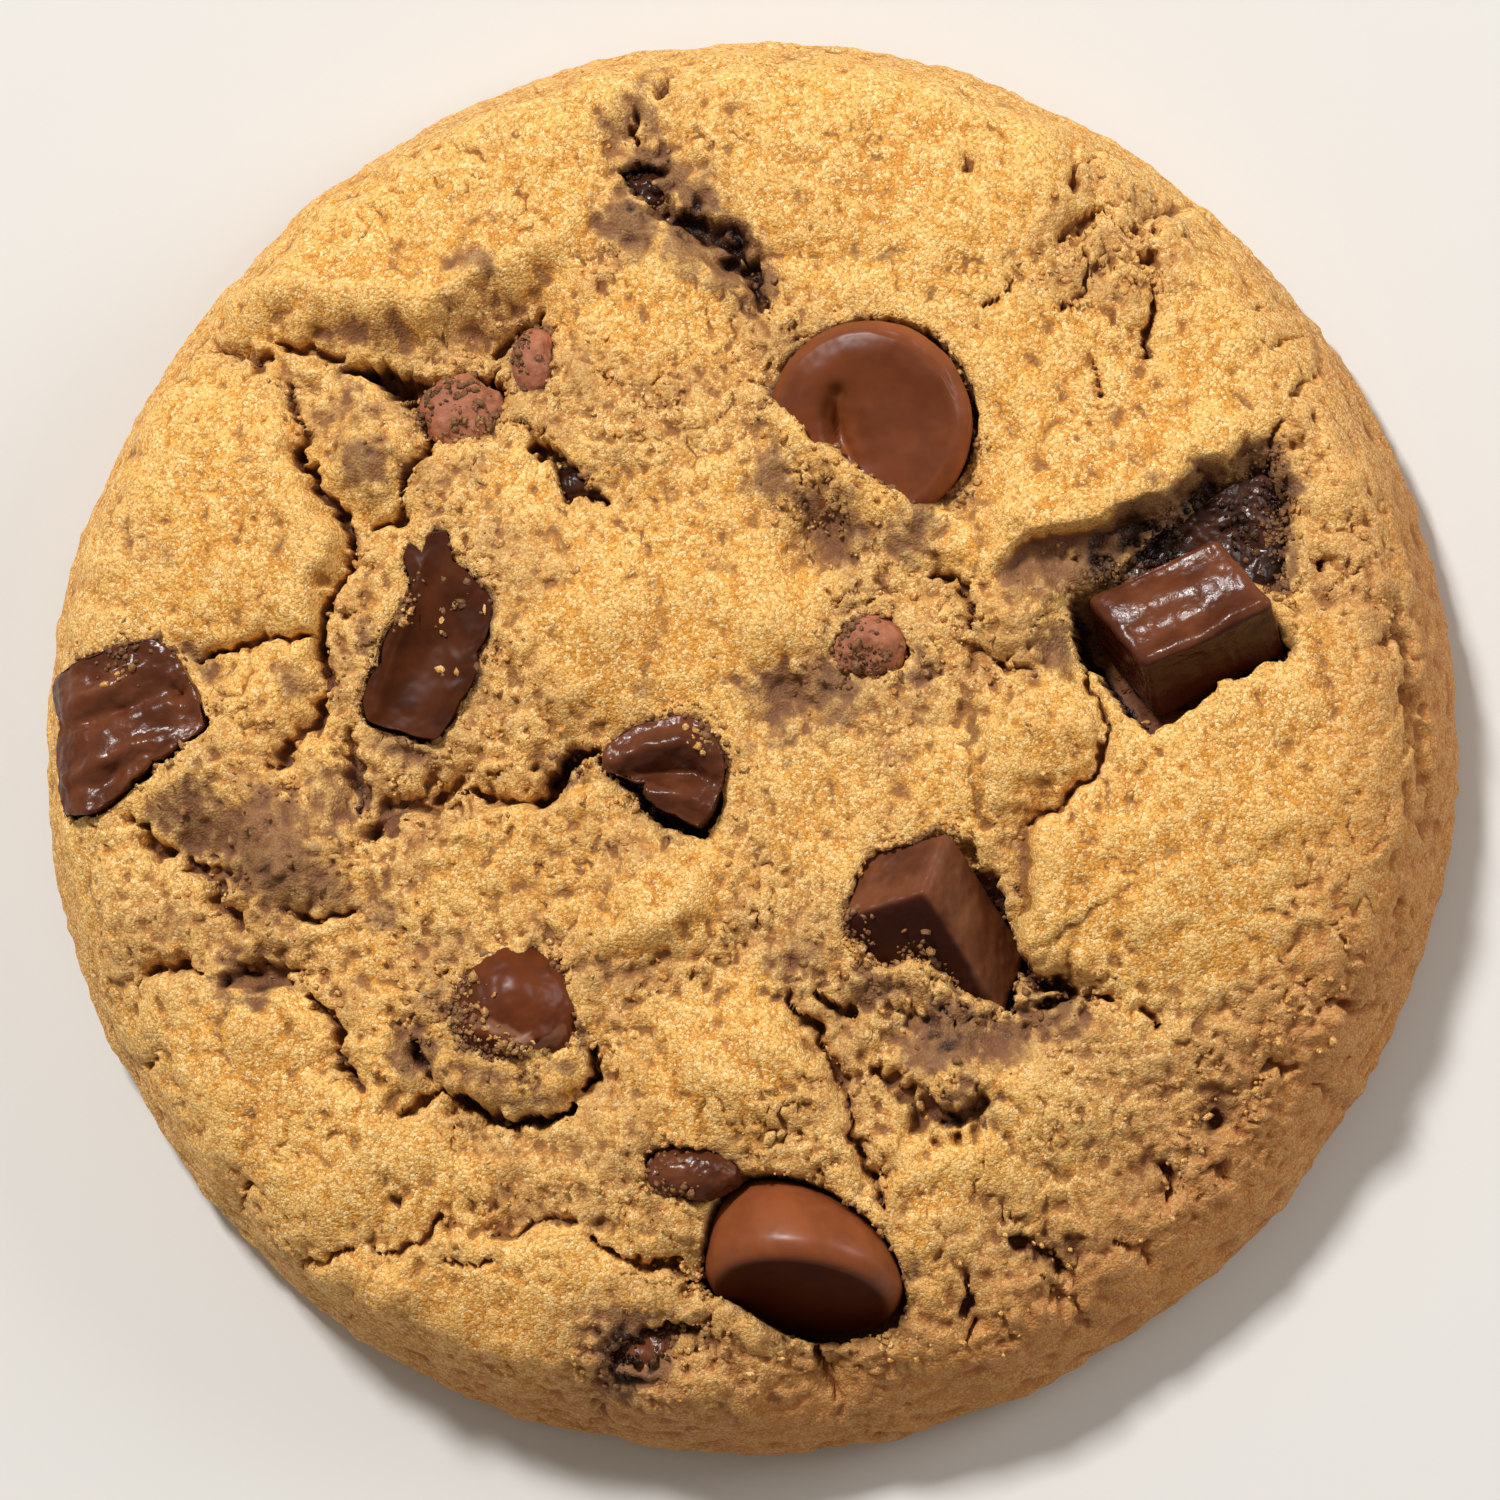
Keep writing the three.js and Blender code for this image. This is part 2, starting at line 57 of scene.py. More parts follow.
mm = 0.001  # every size below is in millimetres until it goes into a mesh
seedOfCookie = 29
readingShift = 1.0  # the top's places are read above its own surface, which leans towards the camera
doughBox = [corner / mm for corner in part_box("cookie_dough")]
outlineRadius = doughBox[1].x
ceiling = cadBox[1].z / mm - 0.02  # nothing stands above the solids' own box
print("frame loaded, cookie radius", round(outlineRadius, 1), "mm")


# Noise, all of it from one hashed lattice so that every run is the same

gradientTable = np.random.default_rng(seedOfCookie).normal(size=(64, 3))
gradientTable /= np.linalg.norm(gradientTable, axis=1)[:, None]


def latticeIndex(cell, seed):  # a lattice point's own number, 0 to 63, by mixing its three indices
    mixed = (cell[:, 0] * 73856093) ^ (cell[:, 1] * 19349663) ^ (cell[:, 2] * 83492791) ^ (seed * 97531)
    mixed = mixed.astype(np.uint32)
    mixed = (mixed ^ (mixed >> 15)) * np.uint32(2246822519)
    mixed = (mixed ^ (mixed >> 13)) * np.uint32(3266489917)
    return ((mixed ^ (mixed >> 16)) >> 7) & 63


def noise(points, size, seed):
    # gradient noise: each lattice corner's slope times the way to it, blended by 6t^5 - 15t^4 + 10t^3
    place = points / size
    base = np.floor(place).astype(np.int64)
    local = place - base
    blend = local ** 3 * (local * (local * 6 - 15) + 10)
    total = np.zeros(len(points))
    for corner in np.ndindex(2, 2, 2):
        offset = np.array(corner)
        weight = np.prod(np.where(offset == 1, blend, 1 - blend), axis=1)
        slope = gradientTable[latticeIndex(base + offset, seed)]
        total += weight * np.sum(slope * (local - offset), axis=1)
    return 1.7 * total


def cells(points, size, seed):
    # distances to the nearest and second nearest of one scattered seed a cell, and the nearest one's number
    place = points / size
    base = np.floor(place).astype(np.int64)
    nearest = np.full(len(points), 9.0)
    second = np.full(len(points), 9.0)
    number = np.zeros(len(points))
    for step in np.ndindex(3, 3, 3):
        cell = base + np.array(step) - 1
        index = latticeIndex(cell, seed)
        far = np.linalg.norm(place - cell - 0.5 - 0.42 * gradientTable[index], axis=1)
        closer = far < nearest
        second = np.where(closer, nearest, np.minimum(second, far))
        number = np.where(closer, index / 63, number)
        nearest = np.minimum(nearest, far)
    return nearest * size, second * size, number


def ramp(value, low, high):  # 0 below low, 1 above high, 3t^2 - 2t^3 between
    t = np.clip((value - low) / (high - low), 0, 1)
    return t * t * (3 - 2 * t)


def besidePath(path, x, y):
    # nearest place on a path of [x, y, ...]: distance, +1 on its left or -1, and how far along, 0 to 1
    corners = np.array(path, float).reshape(-1, 2) + [readingShift, -readingShift]
    distance = np.full(len(x), 99.0)
    side = np.ones(len(x))
    along = np.zeros(len(x))
    for i in range(len(corners) - 1):
        run = corners[i + 1] - corners[i]
        awayX = x - corners[i, 0]
        awayY = y - corners[i, 1]
        share = np.clip((awayX * run[0] + awayY * run[1]) / (run @ run), 0, 1)
        far = np.hypot(awayX - share * run[0], awayY - share * run[1])
        closer = far < distance
        distance = np.where(closer, far, distance)
        side = np.where(closer, np.sign(run[0] * awayY - run[1] * awayX), side)
        along = np.where(closer, (i + share) / (len(corners) - 1), along)
    return distance, side, along


def nearPath(path, x, y, reach):  # which points can lie within reach of a path
    corners = np.array(path, float).reshape(-1, 2) + [readingShift, -readingShift]
    low = corners.min(axis=0) - reach
    high = corners.max(axis=0) + reach
    return np.flatnonzero((x > low[0]) & (x < high[0]) & (y > low[1]) & (y < high[1]))


# Meshes: a grid or skin of points with quads, put in with foreach_set

def makeMesh(name, points, faces, material, corners=4, attributes=None):
    mesh = bpy.data.meshes.new(name)
    mesh.vertices.add(len(points))
    mesh.vertices.foreach_set("co", (np.asarray(points) * mm).astype(np.float32).ravel())
    mesh.loops.add(faces.size)
    mesh.loops.foreach_set("vertex_index", faces.astype(np.int32).ravel())
    mesh.polygons.add(len(faces))
    mesh.polygons.foreach_set("loop_start", np.arange(0, faces.size, corners, dtype=np.int32))
    mesh.polygons.foreach_set("use_smooth", np.ones(len(faces), bool))
    mesh.update()
    mesh.validate()
    mesh.materials.append(material)
    for key, values in (attributes or {}).items():
        addAttribute(mesh, key, values)
    piece = bpy.data.objects.new(name, mesh)
    bpy.context.scene.collection.objects.link(piece)
    return piece


def addAttribute(mesh, key, values):
    layer = mesh.attributes.new(key, "FLOAT", "POINT")
    layer.data.foreach_set("value", np.asarray(values, np.float32))


def cubeSkin(cellCount):
    # the skin of the cube from -1 to 1: six square grids with their seams merged
    t = np.linspace(-1, 1, cellCount + 1)
    u, v = (grid.ravel() for grid in np.meshgrid(t, t, indexing="ij"))
    one = np.ones_like(u)
    sides = [(one, u, v), (-one, v, u), (v, one, u), (u, -one, v), (u, v, one), (v, u, -one)]
    points = np.concatenate([np.stack(side, axis=1) for side in sides])
    i, j = (grid.ravel() for grid in np.meshgrid(np.arange(cellCount), np.arange(cellCount), indexing="ij"))
    first = i * (cellCount + 1) + j
    quad = np.stack([first, first + cellCount + 1, first + cellCount + 2, first + 1], axis=1)
    faces = np.concatenate([quad + k * len(u) for k in range(6)])
    keys = np.round(points * 1e5).astype(np.int64)
    kept, inverse = np.unique(keys, axis=0, return_inverse=True)
    return kept / 1e5, inverse.ravel()[faces]


def vertexNormals(points, faces):  # the sum of the faces' normals round each point, made one long
    a, b, c, d = (points[faces[:, k]] for k in range(4))
    faceNormal = np.cross(c - a, d - b)
    total = np.zeros_like(points)
    for k in range(4):
        for axis in range(3):
            total[:, axis] += np.bincount(faces[:, k], faceNormal[:, axis], len(points))
    return total / np.maximum(np.linalg.norm(total, axis=1), 1e-9)[:, None]


# The dough's own numbers: its section, then the relief of its top, all read from above

dough = {
    "cells": 285,  # grid cells from the middle of the top to the end of the section
    "triangles": 192000,
    "crown": 2.7, "crownPower": 2.6, "rimHeight": 10.1, "rimInset": 4.2,
    "side": [(2.6, 9.4), (1.5, 7.4), (0.75, 4.6), (0.0, 1.6), (0.5, 0.4), (1.4, 0.0)],  # inset, height
    "underside": 34.0,  # radius where the section ends and the flat rings begin
    "outlineWave": 0.45,
    "slump": 1.5,  # how much lower the shoulder is at the lower right
    "swell": 1.5,  # how much of each swell is raised
    "crust": 0.34, "crumb": 1.0,  # how rough the unbroken crust and the broken crumb are
}

# x, y, reach: where the crust has broken and the crumb shows
crumbZones = [
    (-24, 22, 4), (-14, 21, 4.5), (-8, 18, 5), (-17, 16.5, 5), (-14, 10, 5), (-13, 3, 6), (-19, -3, 5),
    (-26, -7, 5), (-31, -9, 3), (-26, -1, 4), (-14, -14, 6), (-4, -3, 5), (5, 5, 5), (12, 5, 5),
    (8, -14, 6.5), (2, -20, 5), (-5, -24, 5), (2, -30, 7), (-7, -33, 5), (-4, 28, 5), (0, 22, 5),
    (26, 11, 4), (30, 7, 5), (24, -19, 7), (18, 26, 5), (5, 12, 4), (17, -13, 4), (-17, -26, 4),
    (29, -14, 5), (14, -28, 5),
]

# x, y, reach: smooth golden plates where the crust is whole
plates = [
    (20, -6, 7), (27, 3, 5), (16.5, -6, 3), (-25, 12, 5), (-22, 25, 6), (-12, 27, 4), (8, 30, 7),
    (18, 18, 6), (-4.5, 23.5, 3.5), (-11.5, 14, 2.4), (-25, -17, 5), (-20, -24, 5), (-3, -8, 3),
    (1, 7.5, 3), (-1, -16, 3), (13, 11, 3), (-16, -30, 5), (-29, 16, 4), (12, -1, 2.6), (-8, 5, 3),
]

# wide, deep, then the path: what a crack opens
cracks = [
    (1.1, 1.5, [-29.3, 22.4, -28, 21.9, -26.8, 21.4, -25.6, 21.3]),
    (0.9, 1.5, [-25, 22.2, -24, 21.8, -22.2, 21.2]),
    (1.0, 3.4, [-21.6, 20.7, -20, 20.3, -18.6, 19.7, -17.6, 19.1, -16.4, 19.1, -15.2, 19.7, -13.6, 19.2]),
    (0.5, 2.0, [-14.3, 19.7, -13.8, 20.5]), (0.5, 1.6, [-14, 21.3, -13.2, 22, -12.3, 22.3, -11.3, 23.1]),
    (0.5, 1.0, [-24.4, 19.6, -24.2, 18.6, -23.6, 17.2, -23.9, 16.2]),
    (0.55, 2.0, [-23.9, 16.2, -24.1, 15.3, -23.2, 14.8, -22.4, 13.4, -21.5, 12.4, -21.1, 11, -21.2, 9.5,
                 -22.6, 7.2]),
    (0.7, 2.2, [-22.6, 7.2, -22.7, 5.6, -22.1, 3.6]),
    (0.8, 1.4, [-22.1, 3.6, -22.9, 1.6, -24.5, 0.5, -25, -1]),
    (0.7, 1.1, [-21.2, 1.2, -21, -1, -20.5, -3]),
    (0.45, 1.4, [-22.8, 6.3, -25.5, 6, -27, 5.6, -29.8, 5.3]),
    (0.4, 1.8, [-17.1, 18.6, -17.2, 17, -17.1, 16, -18, 15, -18.3, 13.5]),
    (0.4, 1.2, [-18.3, 13.5, -18.6, 12.5, -20, 12]), (0.35, 1.0, [-12.4, 17.5, -11.4, 16.2]),
    (0.9, 2.4, [-11.4, 16.2, -10.6, 15.3, -9.4, 14.2, -8.6, 13.3, -7.6, 13]),
    (0.9, 1.8, [-5, 36.6, -5.1, 35]), (0.5, 1.4, [-6.6, 34.2, -6.3, 32.5]),
    (1.9, 2.8, [-6.6, 30.9, -6.0, 30.5, -5.3, 29.6]), (1.2, 1.7, [-5.3, 29.6, -4.4, 28.6, -3.2, 27.8]),
    (1.2, 1.4, [-3.2, 27.8, -1.7, 27.2, -0.8, 26.4, -0.2, 25.4]),
    (0.9, 1.2, [-0.2, 25.4, 0.2, 24.2, 0.5, 23.2]), (0.25, 0.6, [13.6, 24.2, 12.9, 23.7, 12, 23.3]),
    (0.3, 0.7, [17.6, 24.6, 17.3, 23.6, 16.3, 22.8]), (0.3, 0.9, [18.3, 20.3, 18.1, 19.6, 18.3, 18.6]),
    (0.35, 1.1, [20.9, 24.6, 21.2, 23.4, 20.5, 22.2, 20.4, 21, 20.8, 20.3]),
    (0.7, 0.9, [17.8, 31.4, 17, 30.4, 17, 29.4]), (0.6, 1.1, [18.2, 28.6, 17.4, 27.7, 16.4, 27]),
    (1.0, 1.3, [22.8, 29.3, 21.9, 29, 20.9, 28.3]), (0.9, 1.1, [21.3, 26, 20.6, 25.7]),
    (0.35, 0.8, [20.1, 27.8, 20.6, 27.3]), (0.5, 0.9, [29.4, 19.6, 28.2, 19]),
    (0.4, 0.7, [29.6, 17.7, 29.3, 17.3]), (0.4, 0.8, [27.9, 17.3, 27.3, 16.2, 27.2, 15.2, 27, 14.4]),
    (1.0, 2.4, [26.9, 14.2, 25.8, 13.6, 25, 13.2]), (0.4, 0.6, [27.1, 23.6, 26.4, 23.2]),
    (0.3, 0.5, [29.2, 22.5, 28, 21.8, 27, 21.3]), (0.5, 0.7, [11.4, 30.8, 11.1, 30.4]),
    (0.4, 0.8, [33.6, 5.8, 33.2, 5.2]), (0.5, 1.0, [30.2, 9.8, 29.8, 9.2]),
    (0.6, 1.6, [10, 9, 11.3, 7.9, 11.9, 7, 11.8, 6]), (0.4, 1.0, [11.9, 5, 13.5, 4.3, 15, 3.8]),
    (0.5, 1.1, [17.5, 4.5, 18, 3, 18.6, 1, 18.3, -1, 17, -2.8, 15, -4.2]),
    (1.6, 0.4, [11.6, 5, 11.7, 2, 11.7, 0, 12.3, -4]), (0.6, 1.4, [15.4, -13.6, 17, -13.6, 18.6, -13.3]),
    (0.9, 2.4, [13.8, -10.6, 14.4, -11.6, 15.6, -12.4, 17.2, -13.3]),
    (0.7, 1.6, [3.7, -13, 4.4, -13.6, 5.2, -14.4]),
    (1.7, 1.5, [6.5, -17.2, 8, -18.2, 9.6, -19.4, 11, -19.6, 12, -18.9]),
    (0.5, 1.0, [2, -13, 3.4, -15, 4.6, -17.2, 5, -20]), (0.5, 1.2, [5, -20, 6, -22, 6.8, -24]),
    (0.5, 1.4, [-8.6, -26, -6.9, -27, -4.5, -27.3, -3, -28]),
    (0.35, 0.8, [-24, -26.6, -22.5, -26.4, -21, -25.8]),
    (0.45, 1.0, [-20, -26.3, -18.6, -26, -17.3, -25.6, -16.6, -24.7]),
    (0.35, 0.8, [-14, -25.4, -12.6, -25.2, -11, -25, -9.4, -24.7]),
    (0.25, 0.7, [-16.6, -26.7, -15, -26.7, -13.8, -26.6]), (1.8, 2.6, [-7.6, -32, -6.5, -31.4]),
    (1.5, 2.2, [-6.4, -31.2, -5, -30.7]), (0.6, 1.4, [-4.5, -30.7, -3.7, -30.4, -3, -30.6]),
    (1.2, 2.0, [-9.2, -35.6, -8.6, -34.8]), (0.6, 1.6, [3.2, -31.4, 3.4, -32.6, 4.1, -34.4]),
    (0.5, 1.0, [10.9, -27.4, 11.3, -28.8, 11, -29.7]), (0.6, 1.2, [11.2, -30.2, 11.5, -31]),
    (0.8, 0.9, [15.7, -28.7, 16.6, -29.2, 17.3, -30]),
    (0.35, 0.9, [-28.4, -24.3, -27.6, -23.4, -26.8, -22.6]),
    (0.6, 0.9, [-23.6, -27.6, -23.6, -28.8, -23.3, -29.8]), (0.6, 0.7, [-23.6, -26.7, -23.3, -26.5]),
    (0.7, 1.8, [-16, -18.1, -14.4, -19, -13, -19.7, -10.8, -19.6, -9.5, -18.6]),
    (0.8, 2.2, [-9, -18, -8.5, -17, -8.3, -15.6]), (0.6, 1.4, [-18, -15.2, -17.5, -16.2, -16.9, -17.3]),
    (0.5, 1.2, [-18.2, -18.8, -17, -18.4, -16.2, -18]),
    (0.7, 1.2, [-33, -12.2, -31.6, -11.2, -30.4, -10.8, -29, -11.6]),
    (1.1, 1.3, [-27.6, -12.2, -25.8, -11.8, -24, -11.6]),
    (0.45, 1.6, [-23.2, -12.8, -22, -14, -21.6, -15.2, -21.6, -16.4, -20.2, -17.8]),
    (1.2, 1.8, [-32.5, -3.6, -31.9, -4.8, -31.2, -5.4]),
    (0.9, 1.4, [-30, -5.8, -28.4, -6.6, -27.9, -7.8, -27, -9]),
    (0.5, 0.9, [-24.5, -8.5, -22.5, -8.7, -21, -8.2]),
    (1.4, 1.2, [-20, -5, -19, -3.2, -17.3, -2.4, -15.2, -2]),
    (0.4, 1.2, [-15, -2.4, -12.5, -3, -11.4, -2.6]),
    (1.2, 2.4, [-11.2, -2.4, -10.2, -1.6, -9.4, -0.6, -8.2, -0.3]),
    (0.9, 2.6, [-5.3, -2.5, -4, -3.8, -2.6, -4.8]), (0.5, 1.0, [20.5, -13.7, 21.2, -14.5]),
    (0.5, 0.9, [21, -22, 21.7, -22.7, 22, -23.7]), (0.5, 0.8, [23.5, -22.2, 24.8, -22.1, 25.2, -23]),
    (0.5, 0.7, [25.8, -24.2, 26.6, -24.6]), (0.8, 1.2, [30.4, -13.3, 31.6, -13.5, 32.8, -13.2]),
    (0.5, 0.8, [27, -16.6, 28.6, -17]), (0.5, 0.8, [29.4, -17.6, 30.6, -18.4]),
    (0.5, 0.9, [24, -19.5, 24.8, -19.7]), (0.4, 0.7, [19.2, -26, 20.6, -26.8]),
    (0.6, 1.0, [13.7, -25.8, 15, -26.4, 16.2, -27.4]), (0.5, 0.8, [-32.6, -16, -31.9, -15.7]),
    (0.4, 0.8, [-18.8, -23, -18.3, -23.7]), (0.7, 1.0, [33.6, 7, 34.4, 4, 34.9, 1, 35.2, -2, 35.1, -5.5]),
    (0.5, 0.8, [33.9, -8, 33.2, -11, 32.2, -13.5]),
]

# Lips of dough that lie over a piece: the left side of each path is covered
covers = {
    "chip_top": [10.6, 12.3, 9.7, 13.0, 8.4, 13.3, 7.0, 13.9, 5.6, 14.6, 4.6, 15.6, 3.6, 16.7, 2.4, 17.6,
                 1.6, 18.7, 0.4, 19.6],
    "chip_bottom": [6.4, -30.9, 4.5, -31.0, 2.7, -30.9, 0.9, -30.2, -0.8, -29.0, -2.6, -28.3, -4.0, -28.2],
    "chunk_lower": [13.0, -13.6, 11.8, -13.0, 11.1, -12.7, 10.7, -12.1, 9.5, -11.4, 8.5, -11.2,
                    7.6, -11.5, 6.2, -11.0],
    "chip_lower_left": [-9.4, -18.6, -10.6, -17.4, -12.2, -17.0, -13.4, -16.0, -15.0, -15.4, -15.8, -14.0,
                        -16.6, -12.6],
}

# rise, reach, softness, then the path: its left side stands up as a rounded edge over its right side
ledges = [
    (1.7, 4.5, 2.4, [-31, 22.9, -27, 22.4, -24, 22.2, -20, 21.9, -17.3, 21.4, -14.3, 22.6, -12.5, 23.7,
                     -9, 25.6, -7.3, 28]),
    (2.0, 4.0, 0.8, [12, 7.5, 15, 10.5, 19, 11.2, 22.5, 13, 24.5, 14.6, 27, 16]),
    (1.5, 4.0, 0.7, [17.6, -1.5, 15, -4, 14.5, -7, 13.6, -10.8, 15, -12, 18.5, -12.6]),
    (1.0, 3.0, 0.8, [6.3, -23.5, 5.5, -20.5, 4.5, -17, 2, -13]),
    (1.0, 3.0, 1.2, [-9.5, -11, -6.5, -11.2, -3.5, -10.6, -1.8, -9, -1.2, -6.3]),
    (0.9, 3.0, 1.0, [-8, -0.8, -10.5, -2.5, -15, -3, -19, -5.5]),
    (0.8, 3.0, 0.8, [-22.3, -16, -22.8, -13.2, -26, -11.6, -29.5, -10.8, -33, -12]),
    (0.7, 2.0, 0.6, [-17.6, -16, -16, -18.2, -13, -19.6, -10.5, -19.4, -8.6, -17.5, -8.2, -15]),
    (0.6, 2.5, 0.8, [-3, -28, -9.5, -24.8, -17, -25, -24, -26.5]),
    (1.0, 3.0, 1.2, [-22.2, 3.6, -22.6, 7.2, -21.2, 11, -24, 16, -24, 20]),
    (0.8, 3.0, 1.2, [0.6, 22.6, 0, 25, -3, 27.4, -6, 30]), (1.6, 2.4, 0.5, covers["chip_top"]),
    (0.8, 2.0, 0.5, covers["chip_bottom"]), (0.9, 1.6, 0.5, covers["chunk_lower"]),
]

# x, y, reach, rise: lumps and hollows of the top
swells = [
    (-20.3, 15.5, 2.4, 0.9), (-24.5, -5.5, 3.6, 0.9), (-27, 0.3, 3.2, 0.6), (14, 7, 2.2, 0.8),
    (14.5, 0.8, 3.2, 0.7), (1, 7, 3.4, 0.8), (-12.5, -17, 3.0, 0.5), (-4, -8.5, 3.6, 0.9),
    (-1, -17, 4, 0.8), (11, -17, 2.8, 0.5), (5.5, 12.6, 2.2, 0.3), (25, -2, 8, 0.7),
    (9, -14.4, 2.4, -0.9), (26.2, 12, 2.6, -1.6), (-9, 8, 5, 0.6), (-25, 12, 6, 0.5), (-22, -20, 8, 0.5),
    (12, 28, 8, 0.5), (21, -23, 7, -0.4), (11, 14.5, 2.6, -0.6), (3.6, -32.6, 3, -1.0),
    (13, -15.2, 2.2, -1.2), (-8.4, -17.6, 1.2, -0.4), (-29, -4.6, 2.4, -0.9), (-6, 33, 2.2, -0.8),
    (2.2, 2.6, 1.8, -0.6), (17.2, 5.2, 1.8, -0.8), (3.2, 10.2, 2.2, -0.6), (-20.6, -2.4, 2.2, -0.6),
    (-7.6, 1.2, 1.6, -0.4), (-28.8, 4.4, 1.5, -0.5), (-21.8, 18.6, 2.0, -0.6), (12.4, -1.4, 2.6, 0.6),
    (-15.5, -6.5, 3, 0.5), (5.6, -24.6, 2, 0.4), (-18.8, -28.3, 1.2, 0.5), (4, 11.4, 2.0, -0.5),
    (-13.5, 22.8, 2.6, -0.5),
]

# the outlines of the flat melted pieces, x and y in turn, counterclockwise
slabOutlines = {
    "chunk_left": [-37.1, 4.4, -37.2, 3.0, -36.7, 1.7, -36.9, -0.7, -36.5, -2.8, -34.7, -2.8, -32.8, -1.2,
                   -31.7, -0.2, -30.2, 0.6, -28.8, 1.5, -29.1, 2.5, -29.8, 4.2, -31.0, 5.7, -31.7, 6.1,
                   -33.9, 5.6, -35.7, 5.1],
    "chunk_mid_left": [-16.8, 11.4, -17.2, 10.3, -17.9, 10.9, -18.2, 10.1, -17.8, 8.3, -18.4, 6.7,
                       -19.3, 4.6, -20.3, 2.5, -20.1, 1.6, -18.3, 1.0, -16.4, 0.5, -15.9, 1.1, -15.2, 2.5,
                       -14.3, 5.1, -13.6, 8.0, -14.4, 8.8, -15.6, 9.9, -15.9, 11.5],
    "melt_right": [18.4, 8.9, 20.4, 8.0, 23, 8.6, 25.4, 9.0, 27.8, 8.0, 28.2, 10.7, 27.6, 13.0,
                   26.8, 14.3, 24.6, 13.4, 22.8, 12.0, 20.1, 10.4],
    "chunk_centre": [-7.6, -1.2, -6.6, -1.6, -5.3, -1.9, -3.7, -3.6, -2.6, -4.3, -1.9, -3.4, -1.5, -2.5,
                     -1.3, -1.2, -2.0, 0.6, -2.9, 1.4, -4.8, 1.2, -6.6, 0.7, -7.3, -0.1],
}

# Chocolate: the solids' own places and edges, and how each lies in the dough. gap is how far the dough
# keeps off it, open how much further on the side that faces the angle openTo, in degrees.
chocolate = {
    "chunk_right": {"at": (22.8, 6.2), "rise": -1.5,
                    "edges": [(6.9, 3.2, 0), (-3.1, 3.8, -2), (-0.5, 2.5, 4.2)], "gap": 0.15, "open": 0.9,
                    "openTo": 215, "shaft": 4, "lip": 0.3},
    "chunk_lower": {"at": (9.5, -9.9), "rise": -2.3,
                    "edges": [(4.7, 1.2, 1.4), (1.1, 3.6, -1.7), (-3.6, 6.1, 5.5)], "gap": 0.1,
                    "open": 0.6, "openTo": 10, "shaft": 2, "lip": 0.3},
    "chunk_left": {"at": (-33, 1.5), "rise": -2.3, "outline": slabOutlines["chunk_left"], "proud": 0.25,
                   "thick": 4.0, "gap": 0.0, "open": 0.4, "openTo": 300, "shaft": 1, "lip": 0.1},
    "chunk_mid_left": {"at": (-16.9, 5.2), "rise": -1.4, "outline": slabOutlines["chunk_mid_left"],
                       "proud": 0.35, "thick": 3.6, "gap": 0.0, "open": 0.3, "openTo": 200, "shaft": 0,
                       "lip": 0.2},
    "chunk_centre": {"at": (-4.2, -1.2), "rise": -1.2, "outline": slabOutlines["chunk_centre"],
                     "proud": 0.5, "thick": 3.6, "gap": 0.05, "open": 0.7, "openTo": 250, "shaft": 1,
                     "lip": 0.3},
    "chip_top": {"at": (6.2, 16.8), "rise": 0.6, "base": 5.4, "height": 6.4, "tip": (0.09, 0.07, -0.99),
                 "lean": (0, 0, 0), "gap": 0.0, "open": 0.5, "openTo": 45, "shaft": 0, "lip": 0.2},
    "chip_bottom": {"at": (2.5, -28.7), "rise": -1.5, "base": 5.2, "height": 6.3,
                    "tip": (0.1, 0.92, -0.36), "lean": (-2.2, 0, 0), "gap": 0.2, "open": 0.3,
                    "openTo": 275, "shaft": 6, "lip": 0.3},
    "chip_lower_left": {"at": (-12.3, -13.9), "rise": -3.7, "base": 4.4, "height": 5.3,
                        "tip": (-0.1, 0.2, 0.97), "lean": (0, 0, 0), "gap": -0.15, "open": 0.3,
                        "openTo": 0, "shaft": 0, "lip": 0.0},
    "chip_buried_upper": {"at": (-15.3, 17.8), "rise": -1.9, "radii": (2.3, 2.0, 1.9), "gap": 0.0,
                          "open": 0.2, "openTo": 90, "shaft": 0, "lip": 0.1},
    "chip_buried_oval": {"at": (-11.5, 20.5), "rise": -1.9, "radii": (1.2, 2.0, 1.7), "gap": 0.0,
                         "open": 0.0, "openTo": 0, "shaft": 0, "lip": 0.1},
    "chip_buried_centre": {"at": (6.2, 5.2), "rise": -1.1, "radii": (2.1, 1.8, 1.8), "gap": 0.0,
                           "open": 0.3, "openTo": 340, "shaft": 0, "lip": 0.1},
    "chip_curl_bottom": {"at": (-3, -22.2), "rise": -0.9, "radii": (2.6, 1.5, 1.5), "gap": 0.1,
                         "open": 0.7, "openTo": 110, "shaft": 0, "lip": 0.3},
    "bit_crevice_top": {"at": (-5.7, 29.5), "rise": -2.8, "radii": (1.5, 1.5, 1.2), "gap": 0.0, "open": 0,
                        "openTo": 0, "shaft": 0, "lip": 0.0},
    "bit_crevice_upper": {"at": (-8.9, 13.9), "rise": -2.4, "radii": (1.6, 1.1, 1.2), "gap": 0.0,
                          "open": 0, "openTo": 0, "shaft": 0, "lip": 0.0},
    "bit_crevice_bottom": {"at": (-6, -31.3), "rise": -3, "radii": (2, 1.5, 1.2), "gap": 0.0, "open": 0,
                           "openTo": 0, "shaft": 0, "lip": 0.0},
    "melt_right": {"at": (24.2, 10.2), "rise": -2, "outline": slabOutlines["melt_right"], "proud": -1.9,
                   "thick": 2.5, "gap": -0.35, "open": 0.2, "openTo": 90, "shaft": 0, "lip": 0.3},
}
for name, path in covers.items():
    chocolate[name]["cover"] = path
bevelShare = 0.16  # of a chunk's half edge
dropPower = 0.92  # 1 would be a drop with straighter flanks, less a rounder one
dropRimShare = 0.18  # of a drop's height, the rounded rim under its cone


